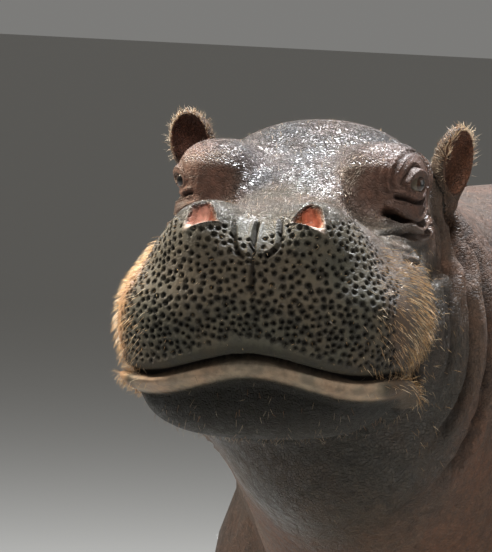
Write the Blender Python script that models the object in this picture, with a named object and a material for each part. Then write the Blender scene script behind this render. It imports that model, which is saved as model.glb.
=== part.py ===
"""A life-size standing hippopotamus, parted into its named pieces.

The animal faces -Y, its left side is +X and its soles stand on Z = 0. Its flesh is modelled
whole, as rounded forms that blend into each other, and then parted with thin cuts. Eyes and
toenails are pieces of their own, set into the flesh.
"""

import math

import bmesh
import bpy
import numpy as np
from mathutils import Matrix, Vector

# Driving dimensions, in metres
HEAD_PLACE = Vector((0.19, -1.34, 1.42))  # midway between the eyes
HEAD_TURN = 27.0  # degrees, towards the animal's left
HEAD_DROP = 3.0  # degrees that the muzzle points down
HEAD_TILT = 1.0  # degrees that the left side is raised
FACE = Vector((0, -0.14, -0.14))  # the middle of the head's finer part, in its frame
EYE_RADIUS = 0.024
EYE_PLACE = (0.191, -0.033, -0.006)  # the left eyeball's centre, in the head's frame
EARS = {  # each ear's root in the head's frame, its lean outwards, its turn and its length
    "left": ((0.219, 0.185, -0.064), 12.0, 52.0, 0.138),
    "right": ((-0.212, 0.185, -0.030), 10.0, -4.0, 0.122),
}
FORELEG_Y, HINDLEG_Y = -0.56, 0.90
FORELEG_X, HINDLEG_X = 0.33, 0.33
TOES = 4
TOE_SPREAD = math.radians(32)  # from one toe to the next
NAIL_HEIGHT = 0.046
NAIL = (0.036, 0.040, 0.030)  # radii of the egg that cuts a nail from its toe
NAIL_REACH = 0.180  # from the middle of the foot to the middle of that egg
CUT = 0.0008  # the gap between two pieces
VOXEL = 0.012
TRIANGLES = 2250  # of the flesh, before it is parted
COARSE = {"head": 0.60, "feet": 0.68, "tail": 0.40, "rest": 1.0}  # how readily each loses triangles
SOLE_Z = 0.010  # level at which the soles are cut flat
NAPE, COLLAR_Y, DOCK_Z, ANKLE_Z, JAW_BACK = 0.30, -0.80, 0.87, 0.165, 0.02  # where the cuts are
HIDE = (0.085, 0.066, 0.055)
LOOKS = {  # colour and roughness of the pieces that aren't hide
    "ear": ((0.150, 0.085, 0.062), 0.55),
    "eye": ((0.020, 0.012, 0.008), 0.10),
    "forenail": ((0.100, 0.085, 0.070), 0.35),
    "hindnail": ((0.100, 0.085, 0.070), 0.35),
}

SIDES = {"left": 1.0, "right": -1.0}


def head_matrix():
    """From the head's own frame (muzzle to -Y, eyes level with its origin) to the body's."""
    turn = Matrix.Rotation(math.radians(HEAD_TURN), 4, "Z")
    drop = Matrix.Rotation(math.radians(HEAD_DROP), 4, "X")
    tilt = Matrix.Rotation(math.radians(-HEAD_TILT), 4, "Y")
    return Matrix.Translation(HEAD_PLACE) @ turn @ drop @ tilt


HEAD = head_matrix()


class Form:
    """A rounded mass: an ellipsoid, or a squarer one where its power is over 2."""

    def __init__(self, centre, radii, blend=0.04, turn=(0, 0, 0), power=2.0):
        self.centre = np.array(centre, float)
        self.radii = np.array(radii, float)
        self.blend, self.turn, self.power = blend, turn, power
        x, y, z = (math.radians(a) for a in turn)
        spin = Matrix.Rotation(z, 3, "Z") @ Matrix.Rotation(y, 3, "Y") @ Matrix.Rotation(x, 3, "X")
        self.axes = np.array(spin)

    def mirrored(self):
        x, y, z = self.centre
        a, b, c = self.turn
        return Form((-x, y, z), self.radii, self.blend, (a, -b, -c), self.power)

    def distance(self, points):
        scaled = np.abs((points - self.centre) @ self.axes) / self.radii + 1e-6
        raised = scaled**self.power
        level = raised.sum(1) ** (1 / self.power)
        steep = (raised / scaled / self.radii) ** 2
        return (level - 1) * level ** (self.power - 1) / np.sqrt(steep.sum(1))

    def add_to(self, shape, matrix):
        place = Matrix.Translation(self.centre) @ Matrix(self.axes.tolist()).to_4x4()
        size = Matrix.Diagonal((*self.radii, 1.0))
        bmesh.ops.create_icosphere(
            shape, subdivisions=4, radius=1.0, matrix=matrix @ place @ size
        )


class Limb:
    """A round limb that tapers from one joint to the next."""

    def __init__(self, start, end, start_radius, end_radius, blend=0.04):
        self.start, self.end = np.array(start, float), np.array(end, float)
        self.radii = (start_radius, end_radius)
        self.blend = blend

    def mirrored(self):
        flip = (-1, 1, 1)
        return Limb(self.start * flip, self.end * flip, *self.radii, self.blend)

    def distance(self, points):
        run = self.end - self.start
        share = np.clip((points - self.start) @ run / (run @ run), 0, 1)
        radius = self.radii[0] + share * (self.radii[1] - self.radii[0])
        return np.linalg.norm(points - self.start - share[:, None] * run, axis=1) - radius

    def add_to(self, shape, matrix):
        run = self.end - self.start
        steps = max(2, round(np.linalg.norm(run) / (0.4 * min(self.radii))))
        for step in range(steps + 1):
            share = step / steps
            radius = self.radii[0] + share * (self.radii[1] - self.radii[0])
            place = Matrix.Translation(self.start + share * run)
            bmesh.ops.create_icosphere(
                shape, subdivisions=3, radius=radius, matrix=matrix @ place
            )


def both(form):
    """The form and its mirror image."""
    return [form, form.mirrored()]


def head_forms():
    """Skull, cheeks, brows and muzzle, in the head's frame."""
    return [
        Form((0, 0.13, -0.08), (0.175, 0.26, 0.130)),  # cranium
        *both(Form((0.140, 0.06, -0.13), (0.080, 0.20, 0.110), 0.06)),  # cheekbones
        *both(Form((0.138, 0.005, -0.013), (0.073, 0.092, 0.073), 0.05, power=2.7)),  # brow domes
        Form((0, 0.20, -0.05), (0.180, 0.15, 0.120), 0.06, power=2.2),  # poll
        Form((0, -0.15, -0.115), (0.125, 0.26, 0.100), 0.08),  # bridge of the nose
        Form((0, -0.325, -0.200), (0.241, 0.172, 0.122), 0.05, power=2.6),  # upper lip
        Form((0, -0.315, -0.105), (0.185, 0.158, 0.088), 0.07, power=2.4),  # top of the muzzle
        *both(Form((0.150, -0.17, -0.205), (0.098, 0.19, 0.125), 0.07)),  # side of the lip
        *both(Form((0.088, -0.372, -0.055), (0.058, 0.080, 0.055), 0.06)),  # nostril mounds
        *both(Form((0.172, 0.19, -0.050), (0.052, 0.070, 0.060), 0.05)),  # roots of the ears
        *both(Form((0.178, 0.080, -0.012), (0.035, 0.046, 0.046), 0.03)),  # skin before the ears
        *both(Form((0.176, -0.040, -0.050), (0.036, 0.048, 0.021), 0.02)),  # pouches under the eyes
    ]


def jaw_forms():
    """Chin, lower lip and jaws, in the head's frame."""
    return [
        Form((0, -0.300, -0.290), (0.226, 0.180, 0.120), 0.03, power=2.6),  # chin
        *both(Form((0.108, -0.10, -0.30), (0.108, 0.28, 0.108), 0.08)),  # jaw bone
        *both(Form((0.150, 0.12, -0.26), (0.105, 0.20, 0.200), 0.09)),  # jaw muscle
        Form((0, 0.05, -0.30), (0.16, 0.30, 0.13), 0.08),  # throat
    ]


def trunk_forms():
    """Neck, trunk and tail, in the body's frame."""
    return [
        Form((0, 0.28, 0.815), (0.600, 0.92, 0.495), 0.1, power=2.1),  # barrel
        Form((0, -0.38, 0.91), (0.46, 0.58, 0.45), 0.15),  # chest
        Form((0, 0.86, 0.93), (0.44, 0.48, 0.43), 0.15),  # rump
        Form((0, -0.40, 1.08), (0.24, 0.40, 0.23), 0.15),  # withers
        *both(Form((0.29, -0.48, 0.80), (0.19, 0.27, 0.42), 0.12)),  # shoulders
        *both(Form((0.28, 0.88, 0.79), (0.20, 0.30, 0.42), 0.12)),  # haunches
        Limb((0.0, -0.55, 0.92), (0.09, -1.00, 1.11), 0.37, 0.288, 0.20),  # neck
        Limb((0.05, -0.80, 0.80), (0.15, -1.14, 0.99), 0.27, 0.215, 0.15),  # throat
        Limb((0, 1.22, 1.08), (0, 1.395, 0.92), 0.066, 0.046, 0.08),  # tail's root
        Limb((0, 1.395, 0.92), (0, 1.42, 0.64), 0.046, 0.022, 0.02),  # tail
    ]


def leg_forms(side):
    """One side's legs, without the toes."""
    x, y = side * FORELEG_X, FORELEG_Y
    u, v = side * HINDLEG_X, HINDLEG_Y
    return [
        Limb((x, y - 0.02, 0.60), (x, y + 0.03, 0.36), 0.185, 0.142, 0.10),
        Limb((x, y + 0.03, 0.36), (x, y, 0.16), 0.142, 0.112, 0.06),
        Limb((x, y, 0.16), (x, y - 0.02, 0.07), 0.108, 0.135, 0.05),
        Limb((u, v - 0.03, 0.64), (u, v + 0.02, 0.38), 0.21, 0.144, 0.10),
        Limb((u, v + 0.02, 0.38), (u, v + 0.05, 0.18), 0.140, 0.106, 0.06),
        Limb((u, v + 0.05, 0.18), (u, v, 0.07), 0.106, 0.130, 0.05),
    ]


def toe_forms(x, y):
    """Four blunt toes in a fan round the front of a foot."""
    forms = []
    for toe in range(TOES):
        angle = TOE_SPREAD * (toe - (TOES - 1) / 2)
        reach = 0.105
        tip = (x + math.sin(angle) * reach, y - math.cos(angle) * reach, 0.042)
        forms.append(Form(tip, (0.043, 0.062, 0.052), 0.02, (0, 0, math.degrees(angle))))
    return forms


def smooth_min(a, b, blend):
    """The nearer of two surfaces, rounded where they meet."""
    near = np.maximum(blend - np.abs(a - b), 0) / blend
    return np.minimum(a, b) - near**3 * blend / 6


def joined(forms, points, start=None):
    found = start
    for form in forms:
        there = form.distance(points)
        found = there if found is None else smooth_min(found, there, form.blend)
    return found


HEAD_FORMS = head_forms()
JAW_FORMS = jaw_forms()
TRUNK_FORMS = trunk_forms()
LEG_FORMS = leg_forms(1) + leg_forms(-1)
TOE_FORMS = []
for each in SIDES.values():
    TOE_FORMS += toe_forms(each * FORELEG_X, FORELEG_Y - 0.02)
    TOE_FORMS += toe_forms(each * HINDLEG_X, HINDLEG_Y)
NOSTRILS = both(Form((0.083, -0.425, -0.012), (0.023, 0.034, 0.017), turn=(-38, 18, 28)))
LEG_REACH, TOE_REACH, HEAD_REACH = 0.95, 0.25, 0.85


def to_head(points):
    back = np.array(HEAD.inverted())
    return points @ back[:3, :3].T + back[:3, 3]


def ease(value):
    """0 below 0, 1 above 1, and a smooth step between."""
    value = np.clip(value, 0, 1)
    return value * value * (3 - 2 * value)


def mouth_height(x, y):
    """Height of the line between the lips, in the head's frame."""
    side = ease(np.abs(x) / 0.19)
    hang = 0.050 * side * np.exp(-(((y + 0.20) / 0.11) ** 2))  # the upper lip's flews
    return -0.232 - 0.040 * side - hang + 0.09 * ease((y + 0.20) / 0.22)


def head_flesh(points):
    """Signed distance from the head's surface, in its own frame."""
    upper = joined(HEAD_FORMS, points)
    lower = joined(JAW_FORMS, points)
    x, y, z = points.T
    line = mouth_height(x, y)
    upper = np.maximum(upper, line - z)
    lower = np.maximum(lower, z - line + 0.004)
    head = smooth_min(upper, lower, 0.02)
    front = ease((0.02 - y) / 0.10)
    lip = line - 0.022
    head -= 0.010 * front * np.exp(-(((z - lip) / 0.016) ** 2))
    head += 0.008 * front * np.exp(-(((z - line) / 0.012) ** 2))
    for nostril in NOSTRILS:
        head = -smooth_min(-head, nostril.distance(points), 0.012)
    return head


def flesh(points):
    """Signed distance from the whole animal's surface, negative inside it."""
    whole = joined(TRUNK_FORMS, points)
    for forms, reach in ((LEG_FORMS, LEG_REACH), (TOE_FORMS, TOE_REACH)):
        low = points[:, 2] < reach
        whole[low] = joined(forms, points[low], whole[low])
    local = to_head(points)
    near = np.linalg.norm(local, axis=1) < HEAD_REACH
    whole[near] = smooth_min(whole[near], head_flesh(local[near]), 0.12)
    return np.maximum(whole, 0.004 - points[:, 2])


def settle(mesh, steps=6):
    """Draws a mesh's points onto the animal's surface, along its normals."""
    points = np.empty(len(mesh.vertices) * 3)
    normals = np.empty(len(mesh.vertices) * 3, np.float32)
    mesh.vertices.foreach_get("co", points)
    for _ in range(steps):
        mesh.vertex_normals.foreach_get("vector", normals)
        distance = flesh(points.reshape(-1, 3))
        points -= (np.clip(distance, -0.03, 0.03)[:, None] * normals.reshape(-1, 3)).ravel()
        mesh.vertices.foreach_set("co", points)
        mesh.update()


def blockout(voxel=VOXEL):
    """Every form as a ball or a chain of balls, fused into one mesh."""
    shape = bmesh.new()
    for form in HEAD_FORMS + JAW_FORMS:
        form.add_to(shape, HEAD)
    for form in TRUNK_FORMS + LEG_FORMS + TOE_FORMS:
        form.add_to(shape, Matrix.Identity(4))
    mesh = bpy.data.meshes.new("flesh")
    shape.to_mesh(mesh)
    shape.free()
    body = bpy.data.objects.new("flesh", mesh)
    bpy.context.scene.collection.objects.link(body)
    return fused(body, voxel)


def fused(body, voxel):
    """Remakes the mesh as one even skin round all its parts."""
    remesh = body.modifiers.new("fuse", "REMESH")
    remesh.mode, remesh.voxel_size = "VOXEL", voxel
    return applied(body)


def applied(body):
    """Replaces the object's mesh by the one that its modifiers make."""
    graph = bpy.context.evaluated_depsgraph_get()
    mesh = bpy.data.meshes.new_from_object(body.evaluated_get(graph))
    body.modifiers.clear()
    body.data = mesh
    return body


def linked(name, shape):
    """A new object from a bmesh, which is freed."""
    mesh = bpy.data.meshes.new(name)
    bmesh.ops.recalc_face_normals(shape, faces=shape.faces)
    shape.to_mesh(mesh)
    shape.free()
    made = bpy.data.objects.new(name, mesh)
    bpy.context.scene.collection.objects.link(made)
    return made


def thinned(body):
    """Fewer triangles, with most of them left on the head."""
    group = body.vertex_groups.new(name="coarse")
    to_local = HEAD.inverted()
    for vertex in body.data.vertices:
        near = (to_local @ vertex.co - FACE).length < 0.47
        where = "head" if near else "feet" if vertex.co.z < 0.22 else "rest"
        where = "tail" if vertex.co.y > 1.36 else where
        group.add([vertex.index], COARSE[where], "REPLACE")
    thin = body.modifiers.new("thin", "DECIMATE")
    thin.ratio = TRIANGLES / (2 * len(body.data.polygons))
    thin.vertex_group = "coarse"
    thin.use_collapse_triangulate = True
    applied(body)
    body.vertex_groups.clear()
    return body


def cut_by(body, cutters, operation="DIFFERENCE"):
    """Cuts the body by each cutter in turn and drops the cutters."""
    for cutter in cutters:
        step = body.modifiers.new(cutter.name, "BOOLEAN")
        step.operation, step.solver, step.object = operation, "EXACT", cutter
    applied(body)
    for cutter in cutters:
        bpy.data.objects.remove(cutter)
    return body


def slab(name, size, matrix):
    """A box-shaped cutter."""
    shape = bmesh.new()
    bmesh.ops.create_cube(shape, size=1.0, matrix=matrix @ Matrix.Diagonal((*size, 1.0)))
    return linked(name, shape)


def shell(name, radii, place, subdivisions=3):
    """A closed egg-shaped cutter, as thick as a cut, that frees what lies inside it."""
    shape = bmesh.new()
    for grow in (0.0, CUT):
        size = Matrix.Diagonal((*(r + grow for r in radii), 1.0))
        bmesh.ops.create_icosphere(
            shape, subdivisions=subdivisions, radius=1.0, matrix=place @ size
        )
    inner = list(shape.faces)[: len(shape.faces) // 2]
    made = bpy.data.meshes.new(name)
    bmesh.ops.reverse_faces(shape, faces=inner)
    shape.to_mesh(made)
    shape.free()
    cutter = bpy.data.objects.new(name, made)
    bpy.context.scene.collection.objects.link(cutter)
    return cutter


def mouth_cutter():
    """A sheet between the lips that turns down behind the corners of the mouth."""
    across = np.linspace(-0.36, 0.36, 17)
    along = np.linspace(-0.60, JAW_BACK, 8)
    shape = bmesh.new()
    layers = []
    for lift in (0.0, CUT):
        rows = []
        for y in along:
            heights = mouth_height(across, np.full(len(across), y)) + lift
            at = y + 1.5 * lift * (y == along[-1])
            rows.append([shape.verts.new(HEAD @ Vector((x, at, z))) for x, z in zip(across, heights)])
        low_y = JAW_BACK - 0.12 + lift
        rows.append([shape.verts.new(HEAD @ Vector((x, low_y, -0.60))) for x in across])
        layers.append(rows)
    low, high = layers
    for rows in layers:
        for near, far in zip(rows, rows[1:]):
            for i in range(len(across) - 1):
                shape.faces.new((near[i], near[i + 1], far[i + 1]))
                shape.faces.new((near[i], far[i + 1], far[i]))
    for first, second in ((low[0], high[0]), (low[-1], high[-1])):
        for i in range(len(across) - 1):
            shape.faces.new((first[i], first[i + 1], second[i + 1], second[i]))
    for side in (0, -1):
        for i in range(len(low) - 1):
            shape.faces.new((low[i][side], low[i + 1][side], high[i + 1][side], high[i][side]))
    return linked("mouth", shape)


def nail_places():
    """Each toenail's name, and the middle of its foot turned to face its toe."""
    for side, sign in SIDES.items():
        for foot, x, y in (("fore", FORELEG_X, FORELEG_Y - 0.02), ("hind", HINDLEG_X, HINDLEG_Y)):
            for toe in range(TOES):
                angle = TOE_SPREAD * (toe - (TOES - 1) / 2)
                place = Matrix.Translation((sign * x, y, 0)) @ Matrix.Rotation(angle, 4, "Z")
                yield f"{foot}nail_{side}_{toe + 1}", place


def cutters():
    """Every thin cut that parts the flesh, and the block that levels its soles."""
    upright = Matrix.Rotation(math.radians(90), 4, "X")
    level = Matrix.Translation
    found = [
        slab("ground", (1.8, 2.6, 0.4), level((0, 0.2, SOLE_Z - 0.2))),
        slab("nape", (1.3, 1.5, CUT), HEAD @ level((0, NAPE, 0)) @ Matrix.Rotation(math.radians(68), 4, "X")),
        slab("collar", (1.7, 1.7, CUT), level((0, COLLAR_Y, 0.90)) @ upright),
        slab("dock", (0.16, 0.16, CUT), level((0, 1.425, DOCK_Z))),
        slab("ankles", (1.8, 2.6, CUT), level((0, 0.2, ANKLE_Z))),
        mouth_cutter(),
    ]
    for side, sign in SIDES.items():
        fore, hind = level((sign * 0.37, FORELEG_Y - 0.01, 0.28)), level((sign * 0.36, HINDLEG_Y, 0.30))
        found.append(shell("shoulder_" + side, (0.27, 0.27, 0.42), fore))
        found.append(shell("hip_" + side, (0.27, 0.31, 0.44), hind))
    for name, place in nail_places():
        found.append(shell("bed_" + name, NAIL, place @ level((0, -NAIL_REACH, NAIL_HEIGHT)), 2))
    return found


def landmarks():
    """A point well inside each piece of flesh."""
    points = {
        "head": HEAD @ Vector((0, -0.02, -0.14)),
        "lower_jaw": HEAD @ Vector((0, -0.24, -0.32)),
        "neck": Vector((0.02, -0.92, 1.05)),
        "trunk": Vector((0, 0.2, 0.85)),
        "tail": Vector((0, 1.41, 0.75)),
    }
    for side, sign in SIDES.items():
        for name, x, y in (("fore", FORELEG_X, FORELEG_Y), ("hind", HINDLEG_X, HINDLEG_Y)):
            points[f"{name}leg_{side}"] = Vector((sign * x, y, 0.35))
            points[f"{name}foot_{side}"] = Vector((sign * x, y, 0.09))
    for name, place in nail_places():
        points[name] = place @ Vector((0, -0.16, NAIL_HEIGHT))
    return points


def loose_parts(mesh):
    """The separate bodies of a mesh, each as a bmesh."""
    whole = bmesh.new()
    whole.from_mesh(mesh)
    unseen = set(whole.faces)
    while unseen:
        reached = {unseen.pop()}
        edge = list(reached)
        while edge:
            face = edge.pop()
            for side in face.edges:
                for other in side.link_faces:
                    if other in unseen:
                        unseen.discard(other)
                        reached.add(other)
                        edge.append(other)
        part = whole.copy()
        numbers = {face.index for face in reached}
        part.faces.ensure_lookup_table()
        others = [face for face in part.faces if face.index not in numbers]
        bmesh.ops.delete(part, geom=others, context="FACES")
        yield part
    whole.free()


def measured(part):
    """The volume of a closed bmesh, and the centre of that volume."""
    volume, moment = 0.0, Vector()
    for corners in part.calc_loop_triangles():
        a, b, c = (corner.vert.co for corner in corners)
        share = a.dot(b.cross(c)) / 6
        volume += share
        moment += share * (a + b + c) / 4
    return volume, moment / volume


def parted(body):
    """The flesh as named pieces: the largest body that is nearest to each landmark."""
    marks = landmarks()
    best = {}
    for part in loose_parts(body.data):
        volume, middle = measured(part)
        name = min(marks, key=lambda mark: (marks[mark] - middle).length)
        if name not in best or volume > best[name][0]:
            best[name] = (volume, part)
    bpy.data.objects.remove(body)
    return {name: linked(name, part) for name, (_, part) in best.items()}


def ball(name, centre, radii, matrix=None, subdivisions=3, grow=0.0):
    """An ellipsoid of flat facets."""
    size = Matrix.Diagonal((*(r + grow for r in radii), 1.0))
    shape = bmesh.new()
    place = (matrix or Matrix.Identity(4)) @ Matrix.Translation(centre) @ size
    bmesh.ops.create_icosphere(shape, subdivisions=subdivisions, radius=1.0, matrix=place)
    return linked(name, shape)


def ear_matrix(side):
    """From an ear's own frame (root at its origin, tip up, hollow to -Y) to the body's."""
    root, lean, turn, _ = EARS[side]
    tip = Matrix.Rotation(math.radians(lean * SIDES[side]), 4, "Y")
    return HEAD @ Matrix.Translation(root) @ tip @ Matrix.Rotation(math.radians(turn), 4, "Z")


def ear(side):
    """A cupped, rounded leaf."""
    length = EARS[side][3]
    place = ear_matrix(side)
    middle = (0, 0, 0.5 * length)
    leaf = ball("ear_" + side, middle, (0.042, 0.031, 0.5 * length), place)
    hollow = ball("hollow", (0, -0.020, 0.56 * length), (0.033, 0.031, 0.40 * length), place, 2)
    return cut_by(leaf, [hollow])


def swollen(body, by):
    """A copy of the body, grown along its normals."""
    copy = bpy.data.objects.new("swollen", body.data.copy())
    bpy.context.scene.collection.objects.link(copy)
    for vertex, source in zip(copy.data.vertices, body.data.vertices):
        vertex.co = source.co + source.normal * by
    return copy


def painted(piece, colour, roughness):
    """Gives a piece a material of its own."""
    look = bpy.data.materials.new(piece.name)
    look.use_nodes = True
    shader = look.node_tree.nodes["Principled BSDF"]
    shader.inputs["Base Color"].default_value = (*colour, 1.0)
    shader.inputs["Roughness"].default_value = roughness
    shader.inputs["Metallic"].default_value = 0.0
    piece.data.materials.clear()
    piece.data.materials.append(look)
    for face in piece.data.polygons:
        face.use_smooth = True


def centred(pieces):
    """Moves all the pieces so that the origin is under the middle of their box."""
    corners = [v.co for piece in pieces for v in piece.data.vertices]
    low = Vector(min(c[i] for c in corners) for i in range(3))
    high = Vector(max(c[i] for c in corners) for i in range(3))
    move = Vector((-(low.x + high.x) / 2, -(low.y + high.y) / 2, -low.z))
    for piece in pieces:
        piece.data.transform(Matrix.Translation(move))


def main():
    for old in list(bpy.data.objects):
        bpy.data.objects.remove(old)
    body = blockout()
    settle(body.data, 3)
    fused(body, VOXEL)
    settle(body.data)
    thinned(body)
    ears = {side: ear(side) for side in SIDES}
    for side in SIDES:
        cut_by(ears[side], [swollen(body, 0.0006)])
    cut_by(body, cutters())
    flesh_pieces = parted(body)
    pieces = list(flesh_pieces.values())
    for side, sign in SIDES.items():
        centre = (sign * EYE_PLACE[0], EYE_PLACE[1], EYE_PLACE[2])
        radii = (EYE_RADIUS,) * 3
        cut_by(flesh_pieces["head"], [ball("socket", centre, radii, HEAD, 3, 0.0006)])
        pieces.append(ball("eye_" + side, centre, radii, HEAD, 3))
    pieces += ears.values()
    for piece in pieces:
        kind = piece.name.split("_")[0]
        colour, roughness = LOOKS.get(kind, (HIDE, 0.45))
        painted(piece, colour, roughness)
    centred(pieces)


if __name__ == "__main__":
    main()
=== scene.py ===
import math
import time

import bmesh
import bpy
import numpy as np
from mathutils import Matrix, Vector, kdtree


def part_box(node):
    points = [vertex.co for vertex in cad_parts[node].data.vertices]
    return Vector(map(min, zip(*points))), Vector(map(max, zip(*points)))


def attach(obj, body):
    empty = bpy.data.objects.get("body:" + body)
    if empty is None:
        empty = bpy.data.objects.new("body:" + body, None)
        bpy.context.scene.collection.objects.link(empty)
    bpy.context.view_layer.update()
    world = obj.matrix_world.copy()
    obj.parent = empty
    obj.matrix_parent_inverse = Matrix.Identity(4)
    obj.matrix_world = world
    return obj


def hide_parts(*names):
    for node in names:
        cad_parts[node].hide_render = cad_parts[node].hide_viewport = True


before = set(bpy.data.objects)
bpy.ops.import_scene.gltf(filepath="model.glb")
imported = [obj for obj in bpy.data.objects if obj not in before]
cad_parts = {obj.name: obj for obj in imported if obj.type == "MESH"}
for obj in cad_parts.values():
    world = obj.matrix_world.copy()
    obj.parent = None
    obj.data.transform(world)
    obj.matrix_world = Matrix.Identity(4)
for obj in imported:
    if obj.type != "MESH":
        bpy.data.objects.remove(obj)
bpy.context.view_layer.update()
scene = bpy.context.scene
started = time.time()


def say(*words):
    print("%5.1f s" % (time.time() - started), *words)


# where the head is
pose = {"turn": 27.0, "drop": 3.0, "tilt": 1.0, "place": (0.19, -1.34, 1.42),
        "eye": (0.191, -0.033, -0.006), "eyeRadius": 0.024}
headTurn = (
    Matrix.Rotation(math.radians(pose["turn"]), 4, "Z")
    @ Matrix.Rotation(math.radians(pose["drop"]), 4, "X")
    @ Matrix.Rotation(math.radians(-pose["tilt"]), 4, "Y")
)
eyeLow, eyeHigh = (Vector(c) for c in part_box("eye_left"))
headPlace = (eyeLow + eyeHigh) / 2 - headTurn.to_3x3() @ Vector(pose["eye"])
head = Matrix.Translation(headPlace) @ headTurn
bodyShift = np.array(headPlace - Vector(pose["place"]))  # from the body's own measures to the frame
headBack = np.array(head.inverted())


def toHead(points):
    return points @ headBack[:3, :3].T + headBack[:3, 3]


def fromHead(points):
    turn = np.array(head)
    return np.asarray(points) @ turn[:3, :3].T + turn[:3, 3]


def ease(value):
    value = np.clip(value, 0, 1)
    return value * value * (3 - 2 * value)


def bell(value, width):
    return np.exp(-((value / width) ** 2))


# rounded masses that make up the animal, blended where they meet
def egg(centre, radii, blend=0.04, turn=(0, 0, 0), power=2.0):
    x, y, z = (math.radians(a) for a in turn)
    spin = Matrix.Rotation(z, 3, "Z") @ Matrix.Rotation(y, 3, "Y") @ Matrix.Rotation(x, 3, "X")
    return {"centre": np.array(centre), "radii": np.array(radii), "blend": blend, "turn": turn,
            "power": power, "axes": np.array(spin)}


def limb(start, end, startRadius, endRadius, blend=0.04):
    return {"start": np.array(start), "end": np.array(end), "radii": (startRadius, endRadius), "blend": blend}


def both(form):  # the form and its mirror image on the other side
    x, y, z = form["centre"]
    a, b, c = form["turn"]
    return [form, egg((-x, y, z), form["radii"], form["blend"], (a, -b, -c), form["power"])]


def distanceTo(form, points):
    if "start" in form:
        run = form["end"] - form["start"]
        share = np.clip((points - form["start"]) @ run / (run @ run), 0, 1)
        radius = form["radii"][0] + share * (form["radii"][1] - form["radii"][0])
        return np.linalg.norm(points - form["start"] - share[:, None] * run, axis=1) - radius
    power, radii = form["power"], form["radii"]
    scaled = np.abs((points - form["centre"]) @ form["axes"]) / radii + 1e-6
    raised = scaled**power
    level = raised.sum(1) ** (1 / power)
    steep = (raised / scaled / radii) ** 2
    return (level - 1) * level ** (power - 1) / np.sqrt(steep.sum(1))


def smoothMin(a, b, blend):
    near = np.maximum(blend - np.abs(a - b), 0) / blend
    return np.minimum(a, b) - near**3 * blend / 6


def joined(forms, points, start=None):
    found = start
    for form in forms:
        there = distanceTo(form, points)
        found = there if found is None else smoothMin(found, there, form["blend"])
    return found


headForms = [
    egg((0, 0.13, -0.08), (0.175, 0.26, 0.130)),  # cranium
    *both(egg((0.140, 0.06, -0.13), (0.080, 0.20, 0.110), 0.06)),  # cheekbones
    *both(egg((0.138, 0.005, -0.013), (0.073, 0.092, 0.073), 0.05, power=2.7)),  # brow domes
    egg((0, 0.20, -0.05), (0.180, 0.15, 0.120), 0.10, power=2.2),  # poll
    egg((0, -0.15, -0.115), (0.125, 0.26, 0.100), 0.08),  # bridge of the nose
    egg((0, -0.325, -0.200), (0.241, 0.172, 0.122), 0.05, power=2.6),  # upper lip
    egg((0, -0.315, -0.105), (0.185, 0.158, 0.088), 0.07, power=2.4),  # top of the muzzle
    *both(egg((0.150, -0.17, -0.205), (0.098, 0.19, 0.125), 0.07)),  # side of the lip
    *both(egg((0.088, -0.372, -0.055), (0.058, 0.080, 0.055), 0.06)),  # nostril mounds
    *both(egg((0.172, 0.19, -0.050), (0.052, 0.070, 0.060), 0.05)),  # roots of the ears
    *both(egg((0.176, -0.040, -0.050), (0.036, 0.048, 0.021), 0.02)),  # pouch under the eye
    *both(egg((0.171, -0.040, -0.082), (0.042, 0.066, 0.013), 0.018)),  # roll under the pouch
    *both(egg((0.190, -0.032, -0.006), (0.0275, 0.030, 0.0275), 0.02)),  # lids round the eyeball
    *both(egg((0.178, 0.080, -0.012), (0.035, 0.046, 0.046), 0.03)),  # wrinkled skin before the ear
]
jawForms = [
    egg((0, -0.300, -0.290), (0.226, 0.180, 0.120), 0.03, power=2.6),  # chin
    *both(egg((0.108, -0.10, -0.30), (0.108, 0.28, 0.108), 0.08)),  # jaw bone
    *both(egg((0.150, 0.12, -0.26), (0.105, 0.20, 0.200), 0.09)),  # jaw muscle
    egg((0, 0.05, -0.30), (0.16, 0.30, 0.13), 0.08),  # throat
]
trunkForms = [
    egg((0, 0.28, 0.815), (0.600, 0.92, 0.495), 0.1, power=2.1),  # barrel
    egg((0, -0.38, 0.91), (0.46, 0.58, 0.45), 0.15),  # chest
    egg((0, 0.86, 0.93), (0.44, 0.48, 0.43), 0.15),  # rump
    egg((0, -0.40, 1.08), (0.24, 0.40, 0.23), 0.15),  # withers
    *both(egg((0.29, -0.48, 0.80), (0.19, 0.27, 0.42), 0.12)),  # shoulders
    *both(egg((0.28, 0.88, 0.79), (0.20, 0.30, 0.42), 0.12)),  # haunches
    limb((0.0, -0.55, 0.92), (0.09, -1.00, 1.11), 0.37, 0.288, 0.20),  # neck
    limb((0.05, -0.80, 0.80), (0.15, -1.14, 0.99), 0.27, 0.215, 0.15),  # throat
    limb((0, 1.22, 1.08), (0, 1.395, 0.92), 0.066, 0.046, 0.08),  # root of the tail
    limb((0, 1.395, 0.92), (0, 1.42, 0.64), 0.046, 0.022, 0.02),  # tail
]
legs = {"foreX": 0.33, "foreY": -0.56, "hindX": 0.33, "hindY": 0.90, "toes": 4,
        "spread": math.radians(32), "reach": 0.105, "toe": (0.043, 0.062, 0.052), "toeHeight": 0.042}
legForms, toeForms, toePlaces = [], [], []
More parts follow.
